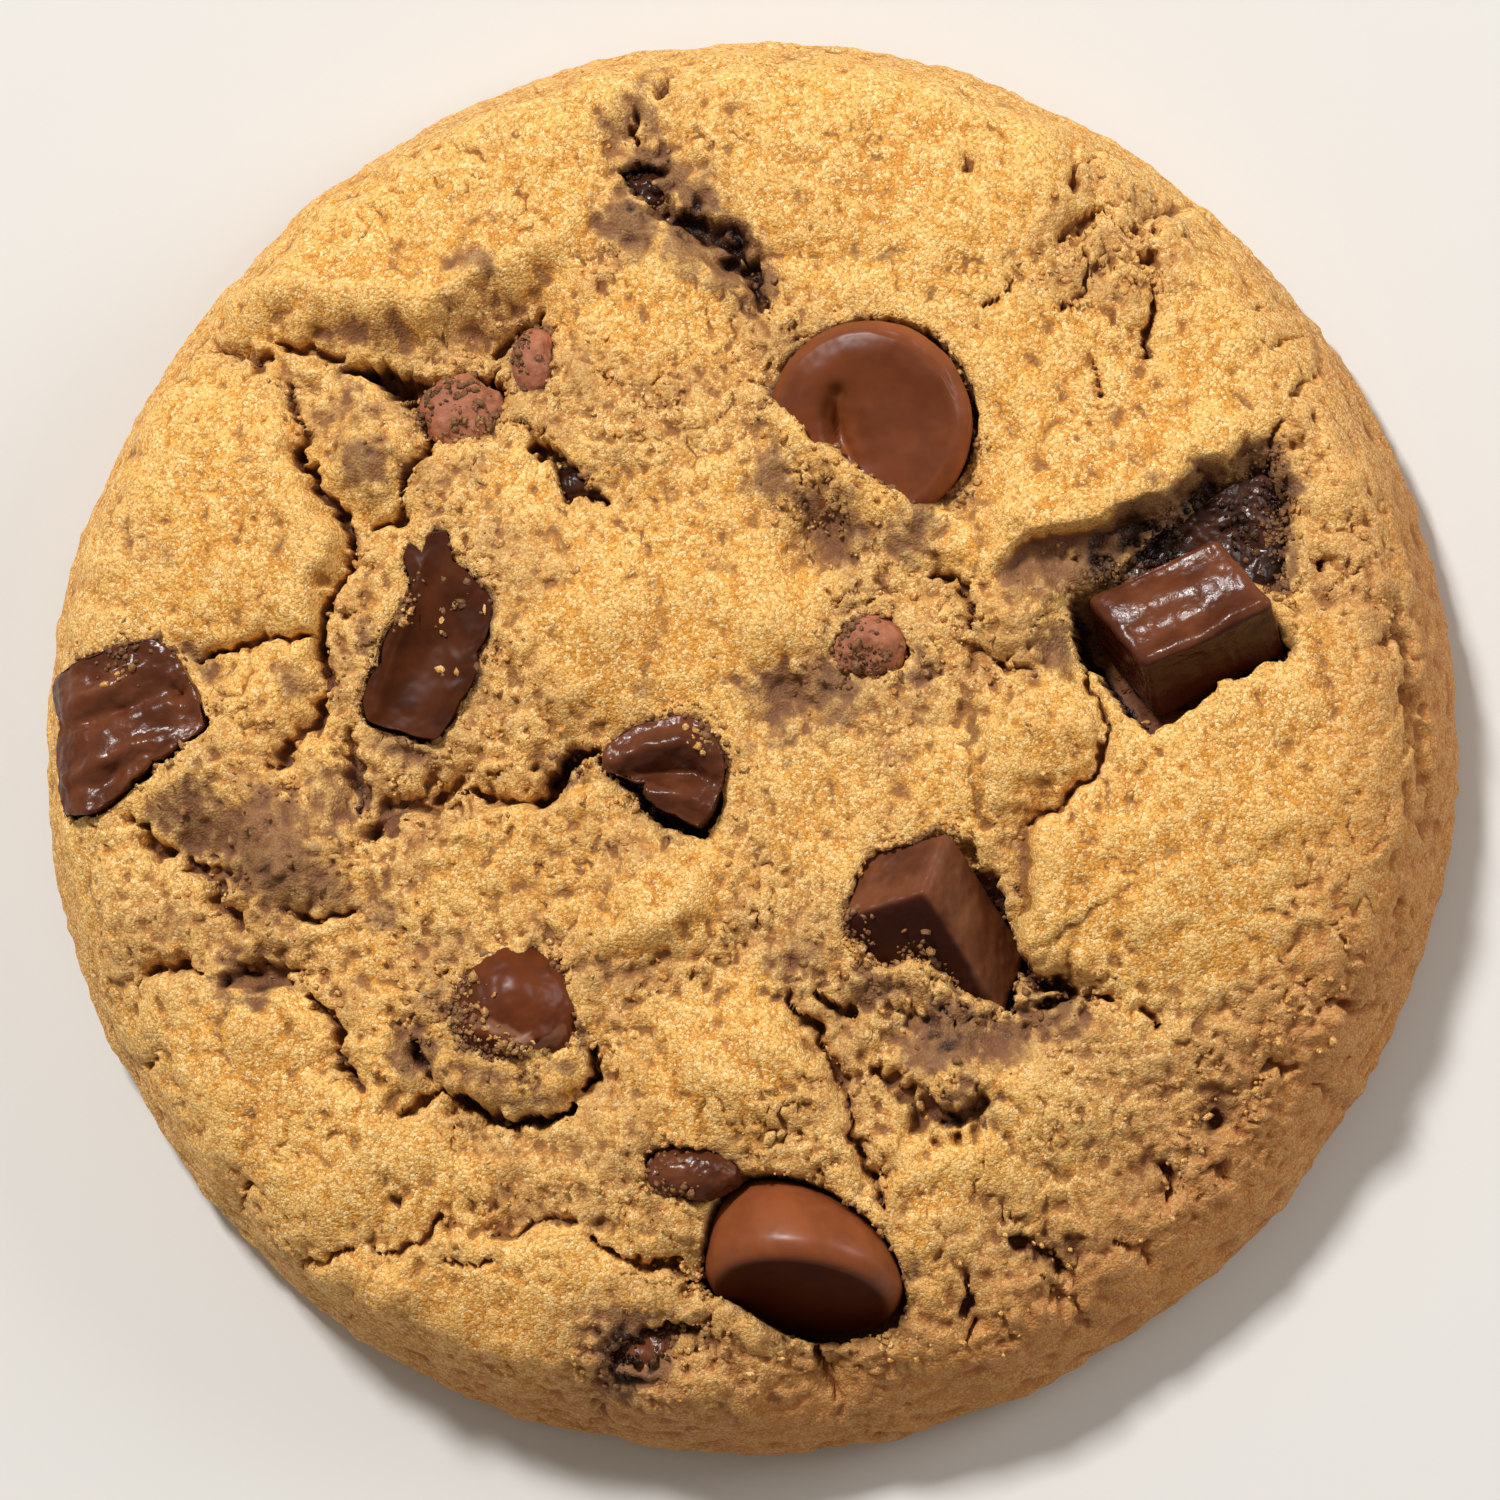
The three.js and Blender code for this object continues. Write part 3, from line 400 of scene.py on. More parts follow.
def domeHeight(x, y):  # rim + crown (1 - share of the radius to a power)
    share = np.minimum(1, np.hypot(x, y) / (outlineRadius - dough["rimInset"]))
    return dough["rimHeight"] + dough["crown"] * (1 - share ** dough["crownPower"])


def doughLevel(x, y):  # the height of the section over any place, before the relief
    even, radii, heights = doughSection()
    top = radii.argmax()
    return np.interp(np.hypot(x, y), radii[:top], heights[:top])


def placeOf(piece):
    x = piece["at"][0] + readingShift
    y = piece["at"][1] - readingShift
    return np.array([x, y, float(domeHeight(x, y)) + piece["rise"]])


def dropLean(piece, height):  # how far a drop's middle has slumped sideways at a height, as its square
    return (np.clip(height / piece["height"], 0, 1) ** 2)[:, None] * np.array(piece["lean"])


def dropRadius(piece, height):  # a drop chip's radius at a height over its base, R cos^power as it climbs
    rim = dropRimShare * piece["height"]
    climb = np.arcsin(np.clip((height - rim) / (piece["height"] - rim), 0, 1) ** (1 / 1.15))
    return piece["base"] * np.cos(climb) ** dropPower


def slabReach(piece, turn):  # how far a slab's drawn outline is from its middle in each direction
    corners = np.array(piece["outline"]).reshape(-1, 2) - piece["at"]
    angles = np.arctan2(corners[:, 1], corners[:, 0])
    return np.interp(turn, angles, np.hypot(corners[:, 0], corners[:, 1]), period=2 * np.pi)


def depthInside(piece, points):  # about how far points are outside a piece of chocolate, less than 0 inside
    local = points - placeOf(piece)
    if "outline" in piece:
        reach = slabReach(piece, np.arctan2(local[:, 1], local[:, 0]))
        top = doughLevel(points[:, 0], points[:, 1]) + piece["proud"] - points[:, 2]
        above = -top - (3 if piece["proud"] < 0 else 0)  # a sunk slab keeps the way to it open
        beside = 0.8 * (np.hypot(local[:, 0], local[:, 1]) - reach)
        return np.maximum(beside, np.maximum(above, top - piece["thick"]))
    if "edges" in piece:
        half = np.array(piece["edges"]).T / 2
        share = np.abs(local @ np.linalg.inv(half).T) - 1
        return np.max(share * np.linalg.norm(half, axis=0), axis=1)
    if "base" in piece:
        axis = np.array(piece["tip"]) / np.linalg.norm(piece["tip"])
        height = local @ axis
        across = np.linalg.norm(local - height[:, None] * axis - dropLean(piece, height), axis=1)
        return np.maximum(across - dropRadius(piece, height), np.maximum(-height, height - piece["height"]))
    radii = np.array(piece["radii"])
    return (np.linalg.norm(local / radii, axis=1) - 1) * radii.mean()


def doughSection():
    # the section from the top's middle outward, over the shoulder and foot to the underside, at even steps
    inner = np.linspace(0, outlineRadius - dough["rimInset"], 90)
    sideInset, sideHeight = np.array(dough["side"]).T
    radii = np.concatenate([inner, outlineRadius - sideInset, [dough["underside"]]])
    heights = np.concatenate([domeHeight(inner, 0 * inner), sideHeight, [0]])
    run = np.concatenate([[0], np.cumsum(np.hypot(np.diff(radii), np.diff(heights)))])
    even = np.linspace(0, run[-1], 1200)
    curve = np.stack([np.interp(even, run, radii), np.interp(even, run, heights)])
    for window in (41, 31):  # a running mean rounds the corners
        padded = np.pad(curve, ((0, 0), (window // 2, window // 2)), mode="reflect", reflect_type="odd")
        curve = np.stack([np.convolve(row, np.ones(window) / window, mode="valid") for row in padded])
    return even, curve[0], np.maximum(curve[1], 0)


def doughGrid():
    # a square grid from -1 to 1 in u and v laid on the disc: the larger of |u| and |v| is the way along the
    # section, and the smaller over the larger turns it within its quarter
    count = dough["cells"]
    t = np.linspace(-1, 1, 2 * count + 1)
    u, v = (grid.ravel() for grid in np.meshgrid(t, t, indexing="ij"))
    wider = np.abs(u) > np.abs(v)
    way = np.where(wider, u, v)
    other = np.where(wider, v, u)
    turn = np.pi / 4 * other / np.where(way == 0, 1, way)
    angle = np.where(wider, turn, np.pi / 2 - turn) + np.where(way < 0, np.pi, 0)
    side = 2 * count + 1
    i, j = (grid.ravel() for grid in np.meshgrid(np.arange(2 * count), np.arange(2 * count), indexing="ij"))
    first = i * side + j
    faces = np.stack([first, first + side, first + side + 1, first + 1], axis=1)
    edge = np.concatenate([np.arange(0, side) * side, (side - 1) * side + np.arange(1, side),
                           np.arange(side - 2, -1, -1) * side + side - 1, np.arange(side - 2, 0, -1)])
    return np.abs(way), angle, faces, edge


def outlineAt(angle):  # the outline's radius, dented by noise that vanishes on the axes
    ring = np.stack([4 + 3 * np.cos(angle), 7 + 3 * np.sin(angle), 0 * angle], axis=1)
    dent = 0.5 + 0.5 * noise(ring, 1.0, 3)
    bumps = 0.24 * noise(2.5 * ring, 1.0, 4) + 0.1 * noise(6 * ring, 1.0, 5)
    return outlineRadius - 0.6 - dough["outlineWave"] * dent * np.sin(2 * angle) ** 2 + bumps


def crackDepth(x, y, ragged):  # how deep each point lies in a crack, with steep sides and ragged edges
    depth = np.zeros(len(x))
    nearest = np.full(len(x), 9.0)
    for wide, deep, path in cracks:
        chosen = nearPath(path, x, y, 4)
        distance, side, along = besidePath(path, x[chosen], y[chosen])
        half = 0.5 * wide * (0.4 + 0.6 * np.sin(np.pi * np.clip(along, 0.04, 0.96)) ** 0.5)
        half = half * (1 + 0.8 * ragged[chosen])
        depth[chosen] = np.maximum(depth[chosen], deep * (1 - ramp(distance, 0.4 * half, 1.25 * half)))
        shallow = 3 * (1 - ramp(deep, 0, 1.2))
        nearest[chosen] = np.minimum(nearest[chosen], np.maximum(distance - half, 0) + shallow)
    return depth, nearest


def ledgeHeight(x, y):
    # beside a ledge at distance q: left rise (1.1 ramp(q) - 0.55 + bulge), right -0.55 rise, both times
    # exp(-(q / reach)^2)
    height = np.zeros(len(x))
    for rise, reach, softness, path in ledges:
        chosen = nearPath(path, x, y, 2.5 * reach)
        distance, side, along = besidePath(path, x[chosen], y[chosen])
        taper = np.clip(np.sin(np.pi * along), 0, 1) ** 0.6
        bulge = np.exp(-((distance - 1.1 - 0.5 * softness) / 1.3) ** 2)  # the edge stands a little higher
        shape = np.where(side > 0, 1.1 * ramp(distance, 0, softness) - 0.55 + 0.3 * bulge, -0.55)
        height[chosen] += rise * shape * taper * np.exp(-(distance / reach) ** 2)
    return height


def swellHeight(x, y):  # rise exp(-(distance / reach)^2) for each lump
    height = np.zeros(len(x))
    for swellX, swellY, reach, rise in swells:
        far = np.hypot(x - swellX - readingShift, y - swellY + readingShift) / reach
        height += dough["swell"] * rise * np.exp(-far * far)
    return height


def plateAt(x, y):  # 1 in the middle of a golden plate, exp(-(distance / reach)^4)
    whole = np.zeros(len(x))
    for plateX, plateY, reach in plates:
        far = np.hypot(x - plateX - readingShift, y - plateY + readingShift) / reach
        whole = np.maximum(whole, np.exp(-far ** 4))
    return whole


def crumbliness(points):  # 0 on whole crust, 1 where it has broken
    x, y, z = points.T
    zone = np.zeros(len(x))
    for zoneX, zoneY, reach in crumbZones:
        far = np.hypot(x - zoneX - readingShift, y - zoneY + readingShift) / reach
        zone = np.maximum(zone, np.exp(-far ** 3))
    for rise, reach, softness, path in ledges:
        chosen = nearPath(path, x, y, 5)
        distance, side, along = besidePath(path, x[chosen], y[chosen])
        under = np.maximum(-side * distance - 0.5, 0.4 * distance)  # the lower side of a ledge is broken too
        zone[chosen] = np.maximum(zone[chosen], np.exp(-(under / 2.2) ** 2) * (side < 0))
    zone = zone - 0.8 * plateAt(x, y)
    return np.clip(zone + 0.45 * noise(points, 5.0, 66) + 0.3 * noise(points, 1.8, 67), 0, 1)


def fineCracks(points, size, seed):  # borders of uneven cells, opened and closed along their way by noise
    moved = points + 0.3 * size * np.stack([noise(points, 0.4 * size, seed + k) for k in range(3)], axis=1)
    nearest, second, number = cells(moved, size, seed + 3)
    here = ramp(noise(points, 2.2 * size, seed + 4), 0.1, 0.5)
    parted = ramp(noise(points, 0.45 * size, seed + 5), -0.2, 0.3)
    return (1 - ramp(second - nearest, 0.03, 0.26)) * here * parted


def knobs(points, size, seed):
    # packed round tops with creases between them, 1 - 2 (distance to a seed / size)^2
    nearest, second, number = cells(points, size, seed)
    return (1 - 2 * (nearest / size) ** 2) * (0.6 + 0.8 * number)


def pits(points):  # round holes where a cell's number is high
    nearest, second, number = cells(points, 2.2, 71)
    return (1 - ramp(nearest, 0.1, 0.3)) * (number > 0.75)


def warp(points, fine=0.26):  # points moved about by noise, so that drawn lines come out ragged
    moved = points + 0.5 * np.stack([noise(points, 1.7, 11 + k) for k in range(3)], axis=1)
    return moved + fine * np.stack([noise(points, 0.6, 14 + k) for k in range(3)], axis=1)


def doughRelief(points, topness):
    # the height of the relief along the surface's normal
    warped = warp(points)
    depth, beside = crackDepth(warped[:, 0], warped[:, 1], noise(points, 0.9, 17))
    rough = crumbliness(points)
    grade = dough["crust"] + (dough["crumb"] - dough["crust"]) * rough
    smoother = warp(points, 0.06)
    height = ledgeHeight(smoother[:, 0], smoother[:, 1]) + swellHeight(points[:, 0], points[:, 1])
    height += 0.42 * noise(points, 7.5, 21) + 0.55 * (np.abs(noise(warped, 4.2, 22)) - 0.3)
    height += grade * (0.42 * (np.abs(noise(warped, 1.9, 23)) - 0.3) + 0.16 * noise(points, 0.9, 24))
    height += grade * (0.1 * knobs(warped, 1.25, 31) + 0.1 * knobs(points + 9, 0.62, 32))
    height -= 0.75 * np.exp(-beside / 1.3) * (1 + 0.5 * noise(points, 0.8, 34))
    height -= (0.2 + 0.35 * rough) * fineCracks(points, 3.2, 61) + 0.2 * pits(points)
    height -= (0.14 + 0.3 * rough) * fineCracks(points, 1.5, 161)
    height -= 0.8 * depth * (1 + 0.4 * noise(points, 0.7, 33))
    return height * (0.12 + 0.88 * topness)


def clearance(piece, points):  # how far the dough is outside a piece and the uneven gap round it
    away = points[:, :2] - placeOf(piece)[:2]
    facing = np.cos(np.arctan2(away[:, 1], away[:, 0]) - math.radians(piece["openTo"]))
    gap = piece["gap"] + piece["open"] * np.clip(facing, 0, 1)
    gap += 0.16 * noise(points, 1.2, 41) + 0.12 * noise(points, 0.5, 42)
    outside = depthInside(piece, points) - gap
    if "cover" in piece:
        distance, side, along = besidePath(piece["cover"], points[:, 0], points[:, 1])
        outside = np.maximum(outside, side * distance + 0.25 * noise(points, 1.1, 43))
    return outside


def clearChocolate(points):
    # the dough next to a piece slides sideways onto the gap's edge, and what is inside drops until it is
    # clear, looking down as far as the piece's shaft
    for piece in chocolate.values():
        away = points[:, :2] - placeOf(piece)[:2]
        chosen = np.flatnonzero((np.hypot(away[:, 0], away[:, 1]) < 9) & (points[:, 2] > 4))
        near = points[chosen]
        probes = [near + [0, 0, -0.8 * k] for k in range(int(piece["shaft"] / 0.8) + 1)]
        outside = np.min([clearance(piece, probe) for probe in probes], axis=0)
        slope = []
        for axis in (0, 1):
            shift = np.zeros(3)
            shift[axis] = 0.05
            ahead = np.min([clearance(piece, probe + shift) for probe in probes], axis=0)
            slope.append((ahead - outside) / 0.05)
        slope = np.stack(slope, axis=1)
        steep = np.sum(slope ** 2, axis=1)
        slide = np.abs(outside) < 0.15
        move = np.clip(-outside / np.maximum(steep, 0.3), -0.2, 0.2)[:, None] * slope
        near[slide, :2] += move[slide]
        lip = (outside > 0) | slide
        near[lip, 2] -= piece["lip"] * np.exp(-np.maximum(outside[lip], 0) / 0.3)
        drop = np.flatnonzero((outside < 0) & ~slide)
        height = near[drop, 2].copy()
        lowest = height.copy()
        for step in range(24):
            probe = near[drop].copy()
            probe[:, 2] = height - 0.4 * step
            reached = (lowest - probe[:, 2] < 0.5) | (0.4 * step <= piece["shaft"])
            inside = (clearance(piece, probe) < 0) & reached
            lowest = np.where(inside, probe[:, 2] - 0.4, lowest)
        near[drop, 2] = np.maximum(lowest, 1.5)
        points[chosen] = near
    return points


def doughPoints():
    share, angle, faces, edge = doughGrid()
    even, radii, heights = doughSection()
    way = share * even[-1]
    radius = np.interp(way, even, radii)
    height = np.interp(way, even, heights)
    outward = -np.interp(way, even, np.gradient(heights, even))  # the section's normal, outward and up
    upward = np.interp(way, even, np.gradient(radii, even))
    radius = radius * (outlineAt(angle) / outlineRadius)
    east = np.cos(angle)
    north = np.sin(angle)
    slumped = np.clip(np.cos(angle + math.radians(50)), 0, 1) ** 1.5
    height = height - dough["slump"] * slumped * ramp(radius, 22, 35) * ramp(height, 2, 9)
    points = np.stack([radius * east, radius * north, height], axis=1)
    normals = np.stack([outward * east, outward * north, upward], axis=1)
    topness = ramp(height, 4, 8.5)
    relief = doughRelief(points, topness)
    wrinkle = 0.3 * (0.5 - np.abs(noise(points * [1, 1, 2.2], 2.6, 51)))
    wrinkle += 0.14 * noise(points * [1, 1, 1.4], 1.1, 52) - 0.2 * fineCracks(points * [1, 1, 1.3], 2.4, 261)
    relief += wrinkle * (1 - topness)
    relief = np.minimum(relief, 0.3 + 1.6 * topness)  # the side stays inside the solid's outline
    flat = ramp(height, 0.05, 1.2)
    points = points + normals * (relief * flat)[:, None]
    grit = 0.13 * noise(points, 0.9, 53) + 0.15 * noise(points, 0.5, 54)  # roughens the cracks' walls too
    grit *= (0.2 + 0.8 * crumbliness(points)) * topness
    points = points + vertexNormals(points, faces) * grit[:, None]
    points[:, 2] = np.clip(points[:, 2], 0, ceiling)
    points = clearChocolate(points)
    rings = [points]
    last = edge
    for inward in (0.97, 0.9, 0.75, 0.55, 0.3):  # the flat underside, ring by ring
        start = sum(len(ring) for ring in rings)
        ring = points[edge] * [inward, inward, 0]
        rings.append(ring)
        this = start + np.arange(len(edge))
        faces = np.concatenate([faces, np.stack([last, this, np.roll(this, -1), np.roll(last, -1)], axis=1)])
        last = this
    middle = sum(len(ring) for ring in rings)
    rings.append(np.zeros((1, 3)))
    start, centre, end = last[0::2], last[1::2], np.roll(last, -2)[0::2]  # the ring has an even count
    fan = np.stack([start, np.full(len(start), middle), end, centre], axis=1)
    return np.concatenate(rings), np.concatenate([faces, fan])


# Materials

def linear(red, green, blue):  # an sRGB colour of 0 to 255 as the shader's own values
    share = [value / 255 for value in (red, green, blue)]
    return [value / 12.92 if value < 0.04 else ((value + 0.055) / 1.055) ** 2.4 for value in share] + [1]


def addNode(tree, kind, inputs=None, **settings):
    node = tree.nodes.new(kind)
    for key, value in settings.items():
        setattr(node, key, value)
    for key, value in (inputs or {}).items():
        if isinstance(value, bpy.types.NodeSocket):
            tree.links.new(value, node.inputs[key])
        else:
            node.inputs[key].default_value = value
    return node


def calculate(tree, operation, first, second=0.5, third=0.5, clamp=False):
    inputs = {0: first, 1: second, 2: third}
    return addNode(tree, "ShaderNodeMath", inputs, operation=operation, use_clamp=clamp).outputs[0]


def between(tree, value, low, high, outLow=0.0, outHigh=1.0):  # value mapped from low..high, clamped, smooth
    inputs = {"Value": value, "From Min": low, "From Max": high, "To Min": outLow, "To Max": outHigh}
    return addNode(tree, "ShaderNodeMapRange", inputs, interpolation_type="SMOOTHSTEP").outputs["Result"]


def cloudy(tree, place, scale, detail=3.0, roughness=0.6):  # soft noise, about 0.3 to 0.7
    inputs = {"Vector": place, "Scale": scale, "Detail": detail, "Roughness": roughness}
    return addNode(tree, "ShaderNodeTexNoise", inputs).outputs["Fac"]


def blend(tree, share, first, second, mode="MIX"):
    node = addNode(tree, "ShaderNodeMix", {0: share, 6: first, 7: second}, data_type="RGBA", blend_type=mode)
    return node.outputs[2]


def times(tree, first, second):
    return calculate(tree, "MULTIPLY", first, second)


def plus(tree, first, second):
    return calculate(tree, "ADD", first, second)


def minus(tree, first, second):
    return calculate(tree, "SUBTRACT", first, second)


def centred(tree, value, amount):  # a value of about 0.5 as something round 0
    return times(tree, minus(tree, value, 0.5), amount)


def attribute(tree, name):
    return addNode(tree, "ShaderNodeAttribute", attribute_name=name).outputs["Fac"]


def newGroup(name, inputs, outputs):
    tree = bpy.data.node_groups.new(name, "ShaderNodeTree")
    for label, value in inputs.items():
        tree.interface.new_socket(label, in_out="INPUT", socket_type="NodeSocketFloat").default_value = value
    for label in outputs:
        tree.interface.new_socket(label, in_out="OUTPUT", socket_type="NodeSocketFloat")
    return tree, tree.nodes.new("NodeGroupInput"), tree.nodes.new("NodeGroupOutput")


def buildSandyGrain():
    # packed grains of a given size: their rounded height, a random tone for each, and which of them glint
    tree, given, result = newGroup("sandyGrain", {"Grains per metre": 2400.0}, ["Height", "Tone", "Glint"])
    place = addNode(tree, "ShaderNodeTexCoord").outputs["Object"]
    coarse = given.outputs["Grains per metre"]
    cell = addNode(tree, "ShaderNodeTexVoronoi", {"Vector": place, "Scale": coarse}, feature="F1")
    finer = {"Vector": place, "Scale": times(tree, coarse, 2.3)}
    fine = addNode(tree, "ShaderNodeTexVoronoi", finer, feature="F1")
    rounded = minus(tree, 1.0, cell.outputs["Distance"])
    fineRound = times(tree, minus(tree, 1.0, fine.outputs["Distance"]), 0.45)
    wobble = cloudy(tree, place, times(tree, coarse, 0.6), 2.0)
    tone = addNode(tree, "ShaderNodeSeparateColor", {"Color": cell.outputs["Color"]})
    fineTone = addNode(tree, "ShaderNodeSeparateColor", {"Color": fine.outputs["Color"]})
    mixedTone = plus(tree, times(tree, tone.outputs[0], 0.5), times(tree, fineTone.outputs[0], 0.5))
    tree.links.new(plus(tree, plus(tree, rounded, fineRound), wobble), result.inputs["Height"])
    tree.links.new(mixedTone, result.inputs["Tone"])
    tree.links.new(between(tree, fineTone.outputs[1], 0.9, 0.96), result.inputs["Glint"])
    return tree


def buildChocolateSurface():
    # the mottling, crumb dust, roughness, relief and sheen that every chocolate finish shares
    tree, given, result = newGroup("chocolateSurface",
                                   {"Roughness": 0.5, "Dusting": 0.0, "Sheen": 0.0, "Shade": 0.0},
                                   ["Mottling", "Dust", "Roughness", "Height", "Sheen"])
    place = addNode(tree, "ShaderNodeTexCoord").outputs["Object"]
    broad = cloudy(tree, place, 420.0, 3.0, 0.55)
    fine = cloudy(tree, place, 2600.0, 2.0)
    dust = between(tree, fine, 0.5, 0.66)
    uneven = between(tree, fine, 0.3, 0.7, 0.8, 1.25)
    lit = calculate(tree, "SUBTRACT", 1.0, given.outputs["Shade"], clamp=True)  # no sheen in the shade
    tree.links.new(between(tree, broad, 0.35, 0.65), result.inputs["Mottling"])
    tree.links.new(times(tree, dust, given.outputs["Dusting"]), result.inputs["Dust"])
    tree.links.new(times(tree, uneven, given.outputs["Roughness"]), result.inputs["Roughness"])
    tree.links.new(plus(tree, broad, times(tree, fine, 0.3)), result.inputs["Height"])
    tree.links.new(times(tree, lit, given.outputs["Sheen"]), result.inputs["Sheen"])
    return tree


sandyGrain = buildSandyGrain()
chocolateSurface = buildChocolateSurface()


def newMaterial(name):
    material = bpy.data.materials.new(name)
    material.use_nodes = True
    tree = material.node_tree
    tree.nodes.clear()
    output = tree.nodes.new("ShaderNodeOutputMaterial")
    shader = tree.nodes.new("ShaderNodeBsdfPrincipled")
    tree.links.new(shader.outputs[0], output.inputs["Surface"])
    return material, tree, shader


doughLook = {
    "gold": linear(226, 160, 66), "pale": linear(208, 152, 80), "toast": linear(208, 140, 52),
    "cream": linear(248, 204, 122), "grainGapShade": linear(160, 94, 30), "hollowShade": linear(128, 78, 36),
    "sugar": linear(255, 228, 168), "paintedSideShade": linear(164, 98, 52),
    "tan": linear(160, 112, 66),
    "moistAndShade": linear(84, 42, 16), "cocoaAndShade": linear(116, 76, 52), "cocoaDarkAndShade": linear(42, 20, 10),
    "grains": 5600.0, "roughness": 0.72,
}


def buildDoughMaterial():
    material, tree, shader = newMaterial("baked dough")
    place = addNode(tree, "ShaderNodeTexCoord").outputs["Object"]
    grain = addNode(tree, "ShaderNodeGroup", node_tree=sandyGrain)
    grain.inputs["Grains per metre"].default_value = doughLook["grains"]
    broad = cloudy(tree, place, 170.0)
    patch = cloudy(tree, place, 430.0)
    speck = cloudy(tree, place, 1800.0, 2.0)
    crease = attribute(tree, "crease")

    # the crust: pale to gold to toasted, then cream as a painted highlight where it stands up and as tone in
    # patches, then its grains, with painted shade in the gaps between them
    toastedness = plus(tree, attribute(tree, "toast"), minus(tree, broad, 0.5))
    colour = blend(tree, between(tree, toastedness, 0.1, 0.6), doughLook["pale"], doughLook["gold"])
    colour = blend(tree, between(tree, toastedness, 0.6, 1.05, 0, 0.8), colour, doughLook["toast"])
    raised = minus(tree, times(tree, speck, 0.12), plus(tree, crease, 0.06))
    colour = blend(tree, between(tree, raised, 0.0, 0.05, 0, 0.5), colour, doughLook["cream"])
    colour = blend(tree, between(tree, patch, 0.55, 0.7, 0, 0.4), colour, doughLook["cream"])
    grainHeight = grain.outputs["Height"]
    grainTone = grain.outputs["Tone"]
    # painted shade in the gaps between the grains
    colour = blend(tree, between(tree, grainHeight, 1.34, 0.95, 0, 0.6), colour, doughLook["grainGapShade"])
    colour = blend(tree, between(tree, grainTone, 0.5, 0.7, 0, 0.45), colour, doughLook["cream"])
    colour = blend(tree, between(tree, grainTone, 0.66, 0.82, 0, 0.75), colour, doughLook["sugar"])

    # painted shade in hollows and creases, browner where broken, painted shade at the lower right and round
    # the side, moist crumb with painted shade down in the cracks
    low = plus(tree, attribute(tree, "hollow"), centred(tree, patch, 0.12))
    colour = blend(tree, between(tree, low, 0.0, 0.6, 0, 0.8), colour, doughLook["hollowShade"])
    colour = blend(tree, between(tree, crease, 0.02, 0.12, 0, 0.75), colour, doughLook["hollowShade"])
    broken = times(tree, attribute(tree, "broken"), between(tree, patch, 0.4, 0.62, 0.1, 0.55))
    colour = blend(tree, broken, colour, doughLook["tan"])
    colour = blend(tree, times(tree, attribute(tree, "paintedSideShade"), 0.6), colour, doughLook["paintedSideShade"])
    sunk = plus(tree, attribute(tree, "sunk"), centred(tree, speck, 0.5))
    colour = blend(tree, between(tree, sunk, 0.2, 0.9), colour, doughLook["moistAndShade"])

    # chocolate rubbed into the dough mixed with painted shade round the pieces, under ledges and in the
    # creases, and wet where it is thick
    smearAndShade = plus(tree, attribute(tree, "cocoaAndShade"), centred(tree, patch, 0.65))
    smearAndShade = plus(tree, smearAndShade, crease)
    colour = blend(tree, between(tree, smearAndShade, 0.12, 0.58, 0, 0.82), colour, doughLook["cocoaAndShade"])
    colour = blend(tree, between(tree, smearAndShade, 0.62, 1.05), colour, doughLook["cocoaDarkAndShade"])
    wet = between(tree, smearAndShade, 0.55, 1.0)
    rough = minus(tree, doughLook["roughness"], times(tree, wet, 0.36))
    rough = minus(tree, rough, times(tree, grain.outputs["Glint"], 0.4))
    bumpHeight = plus(tree, grainHeight, times(tree, speck, 1.2))
    bump = addNode(tree, "ShaderNodeBump", {"Height": bumpHeight, "Strength": 0.6, "Distance": 0.0001})
    shader.inputs["Specular IOR Level"].default_value = 0.28
    tree.links.new(colour, shader.inputs["Base Color"])
    tree.links.new(rough, shader.inputs["Roughness"])
    tree.links.new(bump.outputs["Normal"], shader.inputs["Normal"])
    return material


chocolateLook = {
    "inShade": linear(50, 15, 7), "paintedHighlight": linear(150, 104, 78), "dust": linear(172, 122, 92),
    "ior": 1.47, "sheenRoughness": 0.36,
}


def buildChocolateMaterial(name, body, mottle, roughness, specular, bumpDistance, dusted=0.0, coat=0.0):
    material, tree, shader = newMaterial(name)
    surface = addNode(tree, "ShaderNodeGroup", node_tree=chocolateSurface)
    for label, value in {"Roughness": roughness, "Dusting": dusted, "Sheen": coat}.items():
        surface.inputs[label].default_value = value
    inShade = attribute(tree, "shade")
    tree.links.new(inShade, surface.inputs["Shade"])
    colour = blend(tree, surface.outputs["Mottling"], body, mottle)
    colour = blend(tree, inShade, colour, chocolateLook["inShade"])
    # painted highlight along the pale lines
    colour = blend(tree, attribute(tree, "pale"), colour, chocolateLook["paintedHighlight"])
    if dusted:
        colour = blend(tree, surface.outputs["Dust"], colour, chocolateLook["dust"])
    tree.links.new(colour, shader.inputs["Base Color"])
    tree.links.new(surface.outputs["Roughness"], shader.inputs["Roughness"])
    bump = addNode(tree, "ShaderNodeBump", {"Height": surface.outputs["Height"], "Strength": 0.6,
                                            "Distance": bumpDistance})
    tree.links.new(bump.outputs["Normal"], shader.inputs["Normal"])
    shader.inputs["IOR"].default_value = chocolateLook["ior"]
    shader.inputs["Specular IOR Level"].default_value = specular
    if coat:
        tree.links.new(surface.outputs["Sheen"], shader.inputs["Coat Weight"])
        shader.inputs["Coat Roughness"].default_value = chocolateLook["sheenRoughness"]
    return material


